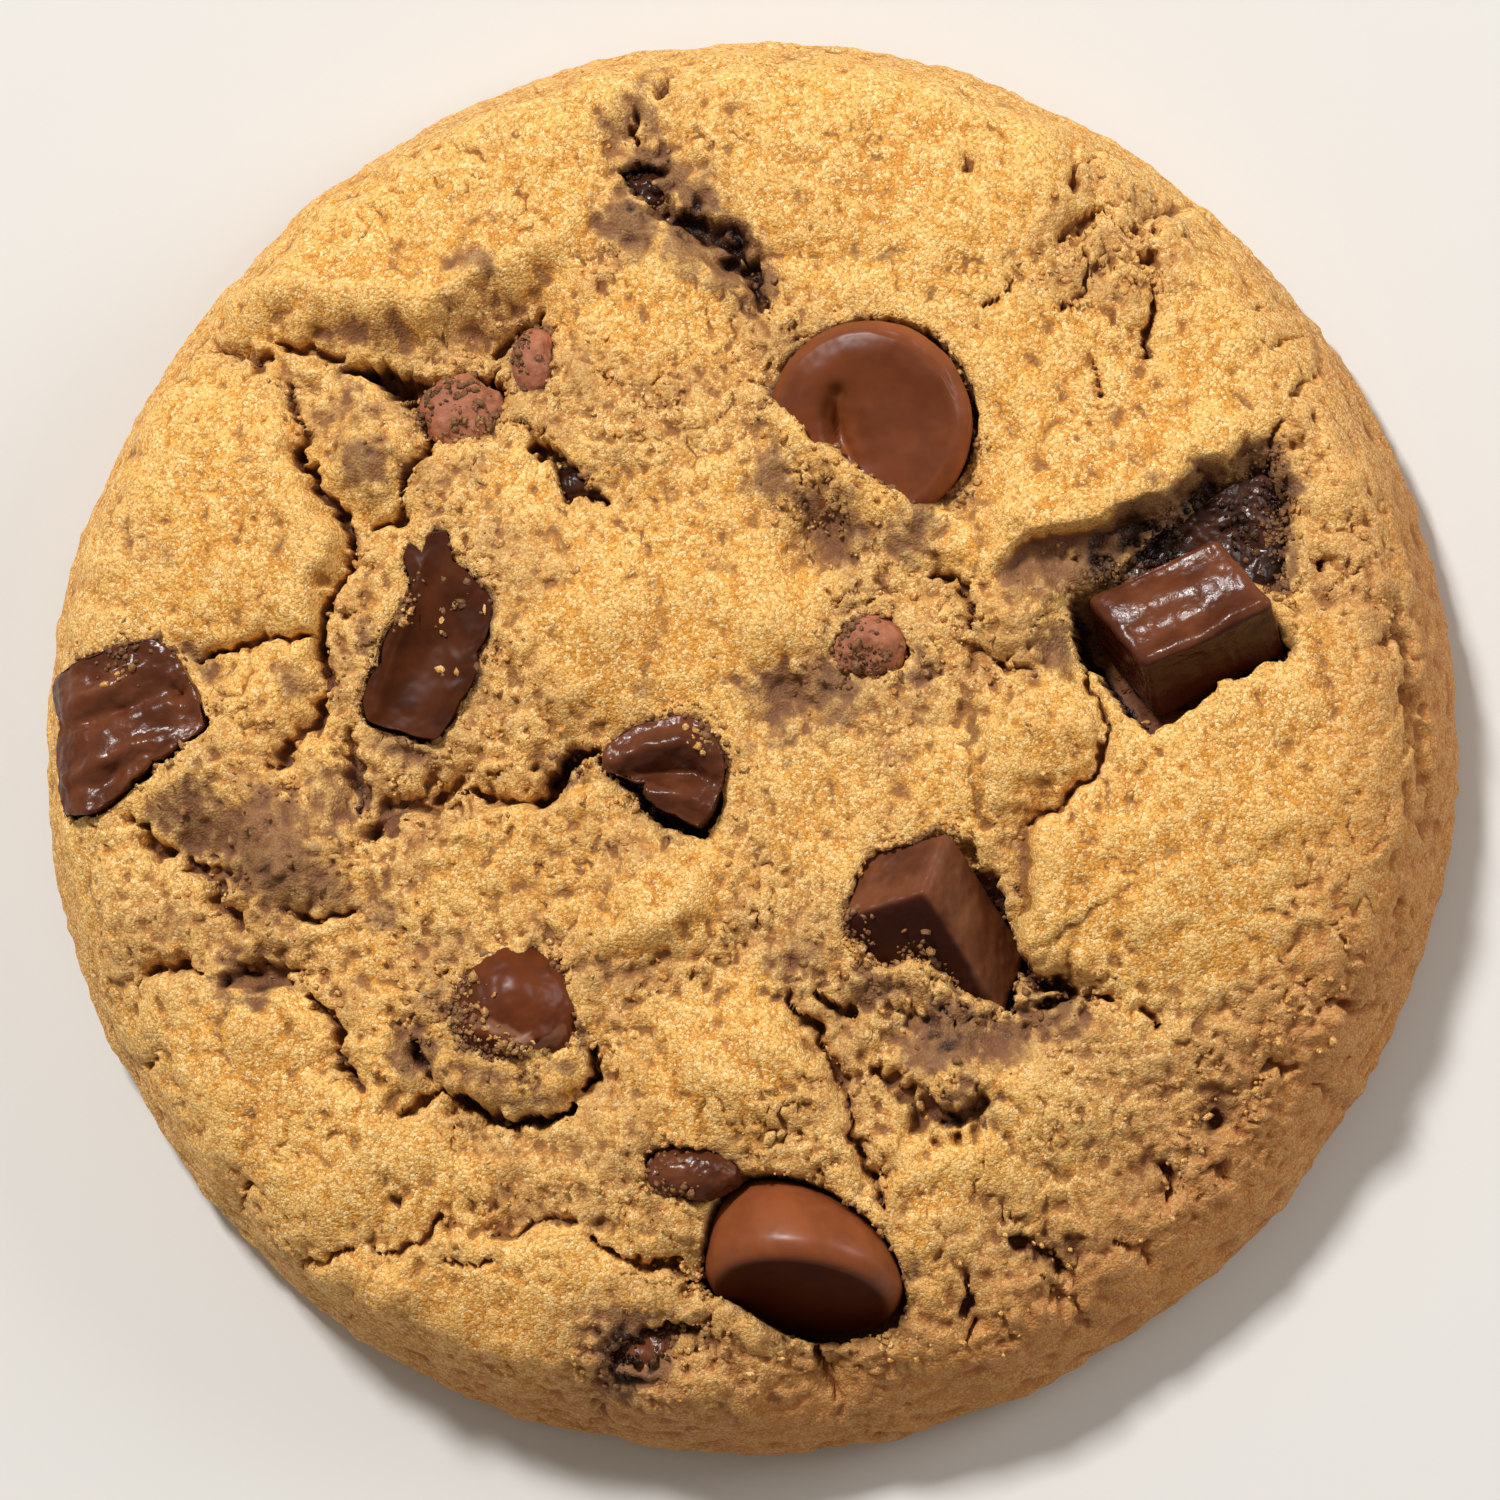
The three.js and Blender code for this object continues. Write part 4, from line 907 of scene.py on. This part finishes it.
doughMaterial = buildDoughMaterial()
milkSatin = buildChocolateMaterial("milk chocolate satin", linear(138, 74, 40), linear(122, 64, 34),
                                   0.5, 0.0, 0.00005, coat=0.6)
darkSatin = buildChocolateMaterial("dark chocolate satin", linear(110, 62, 36), linear(84, 44, 24),
                                   0.42, 0.2, 0.00007)
meltedGloss = buildChocolateMaterial("melted chocolate gloss", linear(106, 58, 34), linear(80, 40, 22),
                                     0.26, 0.25, 0.0002)
# painted shade: a darker copy of the melted chocolate for the hollow behind chunk_right and the crevices
meltedInShade = buildChocolateMaterial("run chocolate in painted shade", linear(70, 36, 20), linear(38, 17, 8), 0.3, 0.4, 0.0003)
slabSatin = buildChocolateMaterial("melted chocolate satin", linear(78, 38, 17), linear(60, 28, 12),
                                   0.5, 0.0, 0.00008, coat=0.12)
softMilk = buildChocolateMaterial("soft milk chocolate", linear(102, 48, 20), linear(84, 38, 15),
                                  0.4, 0.0, 0.0001, coat=0.5)
crumbedMilk = buildChocolateMaterial("milk chocolate under crumbs", linear(176, 110, 80), linear(148, 90, 66),
                                     0.6, 0.2, 0.0003, dusted=0.6)
print("materials made")


# The dough's masks, worked out from where its finished points lie

# x, y, reach, strength: chocolate rubbed or soaked into the dough, and painted shade where shadow lies, as
# round chip_top's rim, below chunk_lower and under the ledge behind chunk_right
smearsAndShade = [
    (-33, 12, 3, 0.25), (-20.3, 15.3, 2.2, 0.6), (-25.5, -5, 3.2, 0.74), (-23, -7.5, 2.2, 0.55),
    (-15, 26, 1.2, 0.45), (-13.5, 23.5, 2.5, 0.3), (-19, -8.5, 1.5, 0.45), (-5.5, 3, 0.8, 0.5),
    (4.5, 3.2, 2.2, 0.6), (8.5, 4.2, 1.4, 0.65), (6.4, 4.6, 3.0, 0.5), (-26.5, -12, 2.0, 0.6),
    (-17.5, -16, 1.8, 0.6), (-13, -17.5, 3, 0.45), (-14, 25.6, 1.0, 0.6), (-6, 28.3, 2.4, 0.78),
    (-3.4, 27, 2.2, 0.7), (-0.6, 25, 1.8, 0.65), (-5.8, 30.2, 1.8, 1.2), (-3.4, 28, 1.6, 1.1),
    (-1, 26.6, 1.6, 1.1), (0.3, 24.3, 1.2, 0.9), (5, 11.5, 2.5, 0.4), (1.2, 14, 1.4, 0.7),
    (10, -15, 2.6, 0.8), (5.8, -12.5, 1.5, 0.7), (15, -13.5, 1.8, 0.7), (11, -18.8, 1.8, 0.7),
    (17.3, 6, 1.5, 0.6), (24, 11.5, 3.2, 1.15), (26.4, 13.6, 2.0, 1.2), (21, 10.6, 2.2, 1.1),
    (18.2, 9.6, 1.8, 0.9), (28, 9, 1.2, 0.6), (19, 9.6, 1.8, 0.5), (16.3, 9, 2.2, 0.55),
    (14, 8.8, 1.4, 0.5), (21.5, 11.8, 1.6, 0.8), (-12.4, -14.3, 4.6, 0.3), (-16, -13.6, 1.5, 0.5),
    (-1, -25, 2, 0.5), (7.5, -27, 1.5, 0.7), (-6.4, -31.4, 2.4, 1.15), (-9, -35, 1.4, 1.0),
    (-30, 0, 2, 0.4), (-31, -3, 1.5, 0.6), (-19.8, 5.5, 1.8, 0.5), (-18, 0.5, 2, 0.5),
    (-3.5, -4, 1.3, 0.8), (-5, 0.9, 1.2, 0.5), (12.6, -15, 2.4, 0.55), (16.5, -13.6, 1.6, 0.6),
    (-9.6, -16.2, 1.7, 0.65), (-10.5, -18.6, 1.6, 0.5), (-28.6, -4, 2.4, 0.6), (-29.5, 4.6, 1.6, 0.6),
    (-6.4, 33.4, 1.8, 0.55), (-5.4, 36, 1.4, 0.55), (1.6, 2.6, 2.6, 0.5), (4.4, 12.6, 2.4, 0.4),
    (8.6, 11.6, 2.0, 0.5), (17, 5.6, 2.0, 0.7), (-24, 3.6, 1.4, 0.5), (-21.6, -2.6, 2.4, 0.5),
    (2.2, -11.6, 2, 0.4), (5, -24, 1.5, 0.45), (-20.5, 20.6, 3, 0.45), (3, 21.3, 1.4, 0.42),
    (6.2, 22.6, 1.3, 0.45), (9.4, 21.6, 1.3, 0.4), (11.8, 18.4, 1.0, 0.4), (11.2, 13.6, 1.3, 0.45),
    (-0.6, 0, 1.2, 0.4), (-9.8, -1, 1.2, 0.8), (-8.9, 13.9, 1.5, 0.8), (-19, -3.2, 1.4, 0.4),
]


def smearAndShadeAt(points):  # how much chocolate has rubbed into the dough, with painted shade, 0 to about 1
    x, y, z = points.T
    cocoaAndShade = np.zeros(len(x))
    spread = 1 + 0.35 * noise(points, 2.4, 81) + 0.3 * noise(points, 0.8, 84)
    for smearX, smearY, reach, strength in smearsAndShade:
        far = np.hypot(x - smearX - readingShift, y - smearY + readingShift) / (reach * spread)
        cocoaAndShade = np.maximum(cocoaAndShade, strength * np.exp(-far ** 3))
    for piece in chocolate.values():
        chosen = np.flatnonzero(np.hypot(x - placeOf(piece)[0], y - placeOf(piece)[1]) < 10)
        close = depthInside(piece, points[chosen])
        reach = 0.5 + 0.4 * noise(points[chosen], 1.3, 82)
        cocoaAndShade[chosen] = np.maximum(cocoaAndShade[chosen], 0.75 * (1 - ramp(close, 0.0, np.maximum(reach, 0.15))))
    return cocoaAndShade * ramp(z, 4, 8)


def doughMasks(points):
    x, y, z = points.T
    topness = ramp(z, 4, 8.5)
    warped = warp(points)
    away = np.hypot(x, y)
    inner = ramp(away, outlineRadius - 3, outlineRadius - 6)
    broad = (ledgeHeight(warped[:, 0], warped[:, 1]) + swellHeight(x, y)) * topness
    below = (domeHeight(x, y) + broad - z) * inner
    toast = 0.5 + 0.25 * noise(points, 9, 83) + 0.2 * np.clip(broad, -1, 1.4) - 0.3 * crumbliness(points)
    toast += 0.25 * plateAt(warped[:, 0], warped[:, 1])
    # painted shade: darker at the lower right rim and round the side, away from the light
    lowerRight = np.clip((x - y) / (1.414 * outlineRadius), 0, 1)
    paintedSideShade = ramp(away / outlineRadius + 0.16 * lowerRight, 0.82, 1.08) * lowerRight ** 0.5
    paintedSideShade += (0.15 + 0.45 * lowerRight) * (1 - topness)
    toast += 0.5 * (1 - ramp(z, 0.3, 2))  # browner towards the foot
    # sunk: how deep under the top's level, for moist crumb with painted shade deep in the cracks
    return {"sunk": ramp(below, 0.9, 2.8) * topness, "cocoaAndShade": smearAndShadeAt(points), "toast": toast,
            "paintedSideShade": np.clip(paintedSideShade, 0, 1), "broken": crumbliness(points) * topness}


def hollowness(mesh, rounds):  # how far each point lies under the mean of its neighbours' neighbours, in mm
    points = meshPoints(mesh)
    ends = np.empty(2 * len(mesh.edges), np.int32)
    mesh.edges.foreach_get("vertices", ends)
    first, second = ends.reshape(-1, 2).T
    count = np.maximum(np.bincount(ends, minlength=len(points)), 1)
    smooth = points.copy()
    for k in range(rounds):
        for axis in range(3):
            total = np.bincount(first, smooth[second, axis], len(points))
            total += np.bincount(second, smooth[first, axis], len(points))
            smooth[:, axis] = total / count
    normals = np.empty(3 * len(points), np.float32)
    mesh.vertices.foreach_get("normal", normals)
    return np.sum((smooth - points) * normals.reshape(-1, 3), axis=1)


def meshPoints(mesh):
    points = np.empty(3 * len(mesh.vertices), np.float32)
    mesh.vertices.foreach_get("co", points)
    return points.reshape(-1, 3).astype(float) / mm


def applyModifiers(piece):
    shaped = bpy.data.meshes.new_from_object(piece.evaluated_get(bpy.context.evaluated_depsgraph_get()))
    old = piece.data
    piece.modifiers.clear()
    piece.data = shaped
    bpy.data.meshes.remove(old)


def makeDough():
    points, faces = doughPoints()
    piece = makeMesh("dough_crust", points, faces, doughMaterial)
    thin = piece.modifiers.new("thin", "DECIMATE")
    thin.ratio = dough["triangles"] / (2 * len(faces))
    applyModifiers(piece)
    piece.data.name = "dough_crust"
    masks = doughMasks(meshPoints(piece.data))
    # hollow and crease feed the painted shade in hollows and creases and the painted highlight on raised
    # points
    masks["hollow"] = hollowness(piece.data, 60)
    masks["crease"] = hollowness(piece.data, 5)
    for key, values in masks.items():
        addAttribute(piece.data, key, values)
    piece.data.polygons.foreach_set("use_smooth", np.ones(len(piece.data.polygons), bool))
    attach(piece, "root")
    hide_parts("cookie_dough")
    return piece


doughPiece = makeDough()
print("dough made,", len(doughPiece.data.polygons), "faces")


# Chocolate pieces: a form from the solids, then strokes and lumps pressed into it

# width, height, then the path: ridges and creases drawn over a piece's top
strokes = {
    "chip_top": [(1.4, 0.5, [3.0, 15.4, 2.8, 17.2, 3.5, 19.2, 5.2, 20.4, 7.6, 20.6, 9.6, 19.4]),
                 (0.42, -1.2, [4.6, 18.4, 4.4, 17.2, 4.6, 16, 5.2, 15]),
                 (1.0, -0.45, [5.3, 17.9, 5.1, 16.5, 5.7, 15]),
                 (0.13, -0.16, [6.8, 21.7, 8.6, 21.1, 10.2, 19.6, 10.9, 18.3])],
    "chip_lower_left": [(0.35, 0.3, [-14.8, -14.8, -13.6, -15, -12.2, -15.8, -11.2, -15.2, -10.2, -15.2]),
                        (1.2, 0.3, [-13.2, -12.6, -11.2, -12.4])],
    "chunk_right": [(0.9, 0.2, [18.4, 7.6, 20, 7, 21.4, 7.4, 23.4, 7.8]),
                    (0.5, 0.25, [21.6, 4.6, 23.8, 5.2, 25.2, 6.4, 26.8, 7.2]),
                    (1.0, -0.3, [20.4, 5.8, 22.6, 6.6, 25, 7.8]),
                    (0.8, -0.2, [19.4, 8.2, 22, 9, 24, 9.6])],
    "chunk_left": [(0.4, 0.4, [-36.4, 2.8, -34, 3.4, -32.4, 4.6]),
                   (0.4, -0.4, [-36.4, 1.6, -33.4, 2.4, -30.6, 3.4]),
                   (0.35, -0.9, [-30.3, 3.4, -30, 3.0]), (0.4, 0.35, [-36.2, -1.2, -33.4, 0.2, -31, 0.8]),
                   (0.4, -0.4, [-34.4, -1.6, -33.2, -0.6])],
    "chunk_mid_left": [(0.35, 0.3, [-19.6, 2, -18.6, 5, -17.6, 7.6, -17.2, 9.6]),
                       (1.2, -0.3, [-18.4, 2.4, -17, 5, -15.4, 7.6])],
    "chunk_centre": [(0.6, 0.6, [-7, -0.8, -5.4, -0.1, -3.4, 0.2, -1.8, -0.4]),
                     (0.45, -0.8, [-6.4, -1.6, -4.6, -1.4, -3, -1.4, -1.8, -2]),
                     (0.6, 0.5, [-5.4, -2.4, -3.6, -2.6, -2.2, -3.2])],
}


def pressStrokes(points, faces, drawn):
    # each stroke moves the top along the normal by height exp(-(distance / width)^2)
    normals = vertexNormals(points, faces)
    up = ramp(normals[:, 2], 0.0, 0.35)
    for width, height, path in drawn:
        distance, side, along = besidePath(path, points[:, 0], points[:, 1])
        taper = np.clip(np.sin(np.pi * np.clip(along, 0.08, 0.92)), 0, 1) ** 0.5
        lift = height * np.exp(-(distance / width) ** 2) * up * taper
        points = points + normals * lift[:, None]
    return points


def chunkPoints(piece, skin):  # the cube's skin, rounded at its edges, carried onto three slanted edges
    skin = np.sign(skin) * np.abs(skin) ** 0.75
    inner = np.clip(skin, bevelShare - 1, 1 - bevelShare)
    outer = skin - inner
    outer /= np.maximum(np.linalg.norm(outer, axis=1), 1e-9)[:, None]
    return (inner + bevelShare * outer) @ (np.array(piece["edges"]) / 2) + placeOf(piece)


def slabPoints(piece, skin):
    # the turn round a ball becomes the drawn outline, its height a flat top at the dough's level and a
    # narrower foot
    ball = skin / np.linalg.norm(skin, axis=1)[:, None]
    across = np.hypot(ball[:, 0], ball[:, 1])
    share = np.clip(across * 1.25, 0, 1) ** 0.9
    turn = np.arctan2(ball[:, 1], ball[:, 0])
    reach = slabReach(piece, turn) * share * np.where(ball[:, 2] < 0, 1 + 0.25 * ball[:, 2], 1)
    x = placeOf(piece)[0] + reach * np.cos(turn)
    y = placeOf(piece)[1] + reach * np.sin(turn)
    edge = np.clip((across - 0.8) / 0.2, 0, 1)
    under = piece["thick"] * (1 - np.sign(ball[:, 2]) * np.sqrt(1 - edge ** 2)) / 2
    return np.stack([x, y, doughLevel(x, y) + piece["proud"] - under], axis=1)


def dropPoints(piece, skin):
    # directions turned into a drop: the polar angle runs up the cone from base to tip, the rest is the turn
    ball = skin / np.linalg.norm(skin, axis=1)[:, None]
    polar = np.arccos(np.clip(ball[:, 2], -1, 1))
    turn = np.arctan2(ball[:, 1], ball[:, 0])
    rimTurn = 0.62 * np.pi
    rim = dropRimShare * piece["height"]
    climb = np.clip(1 - polar / rimTurn, 0, 1) * np.pi / 2
    under = np.clip((polar - rimTurn) / (np.pi - rimTurn), 0, 1)
    rimRound = ramp(under, 0, 0.28)
    radius = np.where(polar < rimTurn, piece["base"] * np.cos(climb) ** dropPower,
                      piece["base"] * (1 - 0.11 * rimRound ** 2) * (1 - ramp(under, 0.2, 1.0)))
    cone = rim + (piece["height"] - rim) * np.sin(climb) ** 1.15
    height = np.where(polar < rimTurn, cone, rim * (1 - rimRound))
    axis = Vector(piece["tip"]).normalized()
    turned = np.array(Vector((0, 0, 1)).rotation_difference(axis).to_matrix())
    upright = np.stack([radius * np.cos(turn), radius * np.sin(turn), height], axis=1)
    return upright @ turned.T + dropLean(piece, height) + placeOf(piece)


def lumpPoints(piece, skin):  # an ellipsoid on the cube's skin
    ball = skin / np.linalg.norm(skin, axis=1)[:, None]
    return ball * np.array(piece["radii"]) + placeOf(piece)


def shadeOf(name, points, normals):
    # how much painted shade a piece's points get: by the way they face, and on the disc under a drop
    piece = chocolate[name]
    shade = np.zeros(len(points))
    for towards, amount in faceShade.get(name, []):
        facing = normals @ (np.array(towards) / np.linalg.norm(towards))
        shade = np.maximum(shade, amount * ramp(facing, 0.45, 0.85))
    if "base" not in piece:
        return shade
    axis = np.array(piece["tip"]) / np.linalg.norm(piece["tip"])
    local = points - placeOf(piece)
    height = local @ axis
    across = np.linalg.norm(local - height[:, None] * axis, axis=1)
    disc = (1 - ramp(height, 0.1, 0.9)) * (1 - ramp(across, 0.8 * piece["base"], 0.98 * piece["base"]))
    return np.maximum(shade, disc * discShade.get(name, 0))


def highlightOf(name, points):  # how much of a pale line of painted highlight each point has
    pale = np.zeros(len(points))
    for width, amount, path in highlightLines.get(name, []):
        distance, side, along = besidePath(path, points[:, 0], points[:, 1])
        ragged = distance + 0.25 * noise(points, 0.6, 94)
        ends = np.sin(np.pi * np.clip(along, 0.1, 0.9)) ** 0.5
        pale = np.maximum(pale, amount * (1 - ramp(ragged, 0.5 * width, 1.2 * width)) * ends)
    return pale


discShade = {"chip_top": 0.45, "chip_bottom": 0.85}  # painted shade: how much darker a drop's disc is than its cone
# painted shade: the ways a piece's darker faces look, and how much darker they are
faceShade = {
    "chunk_right": [((-0.7, -0.7, 0.2), 0.9), ((0.5, -0.85, 0.1), 0.85)],
    "chunk_lower": [((-0.25, -0.85, 0.45), 0.95)],
    "chip_lower_left": [((0, -1, 0.35), 0.5)],
    "chunk_centre": [((0, -0.8, 0.3), 0.2)],
}
# width, strength, then the path: pale lines of painted highlight on a piece
highlightLines = {
    "chip_lower_left": [(0.3, 0.75, [-14.4, -14.4, -12.3, -15.0, -11.1, -15.8, -9.7, -15.0])],
    "chunk_lower": [(0.9, 0.3, [10.4, -6.6, 11.7, -9.9, 12.9, -13.2])],
}
# each piece's finish and how uneven its skin is
chocolateFinish = {
    "chip_top": (milkSatin, 0.03), "chip_bottom": (milkSatin, 0.02), "chip_lower_left": (softMilk, 0.08),
    "chunk_lower": (darkSatin, 0.08), "chunk_right": (meltedGloss, 0.07), "chunk_left": (meltedGloss, 0.18),
    "chunk_mid_left": (slabSatin, 0.05), "chunk_centre": (meltedGloss, 0.12),
    "chip_buried_upper": (crumbedMilk, 0.25), "chip_buried_oval": (crumbedMilk, 0.2),
    "chip_buried_centre": (crumbedMilk, 0.25), "chip_curl_bottom": (meltedGloss, 0.2),
    "melt_right": (meltedInShade, 0.35), "bit_crevice_top": (meltedInShade, 0.3),
    "bit_crevice_upper": (meltedInShade, 0.3), "bit_crevice_bottom": (meltedGloss, 0.3),
}


def makeChocolate(name):
    piece = chocolate[name]
    material, unevenness = chocolateFinish[name]
    skin, faces = cubeSkin(64 if "radii" not in piece else 36)
    if "outline" in piece:
        points = slabPoints(piece, skin)
    elif "edges" in piece:
        points = chunkPoints(piece, skin)
    elif "base" in piece:
        points = dropPoints(piece, skin)
    else:
        points = lumpPoints(piece, skin)
    points = pressStrokes(points, faces, strokes.get(name, []))
    normals = vertexNormals(points, faces)
    rough = noise(points, 1.6, 91) + 0.5 * noise(points, 0.7, 92) + 0.25 * noise(points, 0.33, 93)
    points = points + normals * (unevenness * rough)[:, None]
    points[:, 2] = np.minimum(points[:, 2], ceiling)
    # painted shade and painted highlight lines, carried as attributes
    paintedShadeAndHighlight = {"shade": shadeOf(name, points, normals), "pale": highlightOf(name, points)}
    made = makeMesh(name + "_fine", points, faces, material, attributes=paintedShadeAndHighlight)
    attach(made, "root")
    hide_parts(name)
    return points, normals


chocolateSkins = {name: makeChocolate(name) for name in chocolate}
print("chocolate made,", len(chocolate), "pieces")


# Crumbs: one joined mesh of many small uneven lumps, thick where the crumb shows and at the chocolate's edges

crumbs = {
    "count": 6200, "size": 0.14, "spread": 0.4,  # how many, their middle radius, and how it varies
    # piece, x, y, reach, count: crumbs that lie on the chocolate
    "dusted": [
        ("chunk_lower", 8.6, -12.2, 1.6, 260), ("chunk_lower", 5.6, -10, 1.2, 40),
        ("chip_lower_left", -15.2, -13.6, 1.6, 260), ("chip_lower_left", -12.8, -16.6, 1.6, 260),
        ("chunk_mid_left", -18, 8, 1.4, 60), ("chip_buried_upper", -14.6, 16.4, 1.4, 120),
        ("chip_buried_centre", 6.5, 3.8, 1.6, 110), ("chunk_left", -33.5, 5, 1.5, 50),
        ("chunk_centre", -2.4, 0.6, 1, 25), ("melt_right", 20.8, 10, 1.8, 260),
        ("melt_right", 26.6, 11.6, 1.8, 200), ("chip_buried_upper", -15.8, 18.4, 1.8, 110),
        ("chip_buried_centre", 5.4, 5.4, 1.5, 90), ("bit_crevice_top", -5.7, 29.5, 1.5, 110),
        ("bit_crevice_bottom", -6, -31.3, 1.8, 110), ("chip_buried_oval", -12.2, 21, 1.2, 50),
        ("chip_curl_bottom", -4.2, -22.6, 1.4, 60),
    ],
}


def lumpShape():  # the twelve corners and twenty faces of an icosahedron of radius 1
    golden = (1 + 5 ** 0.5) / 2
    corners = np.array([(-1, golden, 0), (1, golden, 0), (-1, -golden, 0), (1, -golden, 0),
                        (0, -1, golden), (0, 1, golden), (0, -1, -golden), (0, 1, -golden),
                        (golden, 0, -1), (golden, 0, 1), (-golden, 0, -1), (-golden, 0, 1)])
    faces = np.array([(0, 11, 5), (0, 5, 1), (0, 1, 7), (0, 7, 10), (0, 10, 11), (1, 5, 9), (5, 11, 4),
                      (11, 10, 2), (10, 7, 6), (7, 1, 8), (3, 9, 4), (3, 4, 2), (3, 2, 6), (3, 6, 8),
                      (3, 8, 9), (4, 9, 5), (2, 4, 11), (6, 2, 10), (8, 6, 7), (9, 8, 1)])
    return corners / np.linalg.norm(corners[0]), faces


def crumbPlaces(rng):
    points = meshPoints(doughPiece.data)
    x, y, z = points.T
    likely = 0.5 * crumbliness(points) ** 2
    for piece in chocolate.values():
        chosen = np.flatnonzero(np.hypot(x - placeOf(piece)[0], y - placeOf(piece)[1]) < 10)
        likely[chosen] += 2.2 * np.exp(-(np.maximum(depthInside(piece, points[chosen]), 0) / 0.6) ** 2)
    likely *= ramp(z, 6, 9) * (0.15 + ramp(noise(points, 2.5, 95), -0.1, 0.4))
    chosen = rng.choice(len(points), crumbs["count"], p=likely / likely.sum())
    places = [points[chosen]]
    for name, spotX, spotY, reach, count in crumbs["dusted"]:
        skin, normals = chocolateSkins[name]
        far = np.hypot(skin[:, 0] - spotX - readingShift, skin[:, 1] - spotY + readingShift) / reach
        weight = np.exp(-far ** 4) * (normals[:, 2] > 0.1)
        if weight.sum() > 0:
            places.append(skin[rng.choice(len(skin), count, p=weight / weight.sum())])
    return np.concatenate(places) + rng.normal(0, 0.06, (sum(len(place) for place in places), 3))


def makeCrumbs():
    rng = np.random.default_rng(seedOfCookie + 1)
    corners, faces = lumpShape()
    places = crumbPlaces(rng)[:9900]
    count = len(places)
    size = crumbs["size"] * np.exp(crumbs["spread"] * rng.normal(size=count)).clip(0.4, 2.2)
    form = corners * (1 + 0.28 * rng.normal(size=(count, 12, 1))).clip(0.5, 1.6)
    form = form * rng.uniform(0.5, 1.2, (count, 1, 3))
    turned = np.linalg.qr(rng.normal(size=(count, 3, 3)))[0]
    turned[np.linalg.det(turned) < 0] *= -1
    lumps = (form * size[:, None, None]) @ turned + places[:, None, :]
    points = lumps.reshape(-1, 3)
    points[:, 2] = np.minimum(points[:, 2], ceiling)
    allFaces = (faces[None] + 12 * np.arange(count)[:, None, None]).reshape(-1, 3)
    none = np.zeros(count)
    attributes = {"sunk": none, "paintedSideShade": none, "crease": none, "broken": none + 0.5, "cocoaAndShade": smearAndShadeAt(places),
                  "toast": rng.normal(0.1, 0.15, count), "hollow": rng.normal(-0.04, 0.05, count)}
    attributes = {key: np.repeat(values, 12) for key, values in attributes.items()}
    made = makeMesh("crumbs", points, allFaces, doughMaterial, 3, attributes)
    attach(made, "root")


makeCrumbs()
print("crumbs made")


# Floor, light and camera

stage = {
    "floorSide": 1.6, "floorColour": linear(214, 212, 208),
    "keyPower": 17.0, "keySize": 0.2, "keyPlace": (-0.42, 0.7, 1.03),
    "fillPower": 1.3, "fillSize": 0.3, "fillPlace": (0.5, 0.2, 0.3),
    "worldStrength": 0.3, "worldColour": (1, 0.9, 0.78, 1),
}


def makeFloor():
    half = stage["floorSide"] / 2 / mm
    low = -0.02
    corners = np.array([(-half, -half, low), (half, -half, low), (half, half, low), (-half, half, low)])
    material, tree, shader = newMaterial("pale floor")
    shader.inputs["Base Color"].default_value = stage["floorColour"]
    shader.inputs["Roughness"].default_value = 0.7
    floor = makeMesh("floor", corners, np.array([[0, 1, 2, 3]]), material)


def makeLight(name, power, size, place):
    lamp = bpy.data.lights.new(name, "AREA")
    lamp.energy = power
    lamp.size = size
    light = bpy.data.objects.new(name, lamp)
    light.location = place
    light.rotation_euler = (-Vector(place)).to_track_quat("-Z", "Y").to_euler()
    bpy.context.scene.collection.objects.link(light)


def makeWorld():
    world = bpy.data.worlds.new("soft studio")
    bpy.context.scene.world = world
    world.use_nodes = True
    world.node_tree.nodes["Background"].inputs["Color"].default_value = stage["worldColour"]
    world.node_tree.nodes["Background"].inputs["Strength"].default_value = stage["worldStrength"]


view = {
    "turn": 45, "elevation": 82, "distance": 1.2,  # degrees and metres; the image's top is +Y
    "frameWidth": 0.0789, "target": (0.00027, -0.00042, 0.0045), "sensor": 36,
}


def makeCamera():
    turn = math.radians(view["turn"])
    tilt = math.radians(view["elevation"])
    back = Vector((math.sin(turn) * math.cos(tilt), -math.cos(turn) * math.cos(tilt), math.sin(tilt)))
    right = Vector((0, 1, 0)).cross(back).normalized()
    up = back.cross(right)
    lens = bpy.data.cameras.new("camera")
    lens.sensor_width = view["sensor"]
    lens.lens = view["sensor"] * view["distance"] / view["frameWidth"]
    lens.clip_start = 0.01
    camera = bpy.data.objects.new("camera", lens)
    camera.matrix_world = Matrix((right, up, back)).transposed().to_4x4()
    camera.location = Vector(view["target"]) + back * view["distance"]
    bpy.context.scene.collection.objects.link(camera)
    bpy.context.scene.camera = camera


makeFloor()
makeWorld()
makeLight("key", stage["keyPower"], stage["keySize"], stage["keyPlace"])
makeLight("fill", stage["fillPower"], stage["fillSize"], stage["fillPlace"])
makeCamera()
bpy.context.scene.view_settings.view_transform = "Standard"
print("stage set")
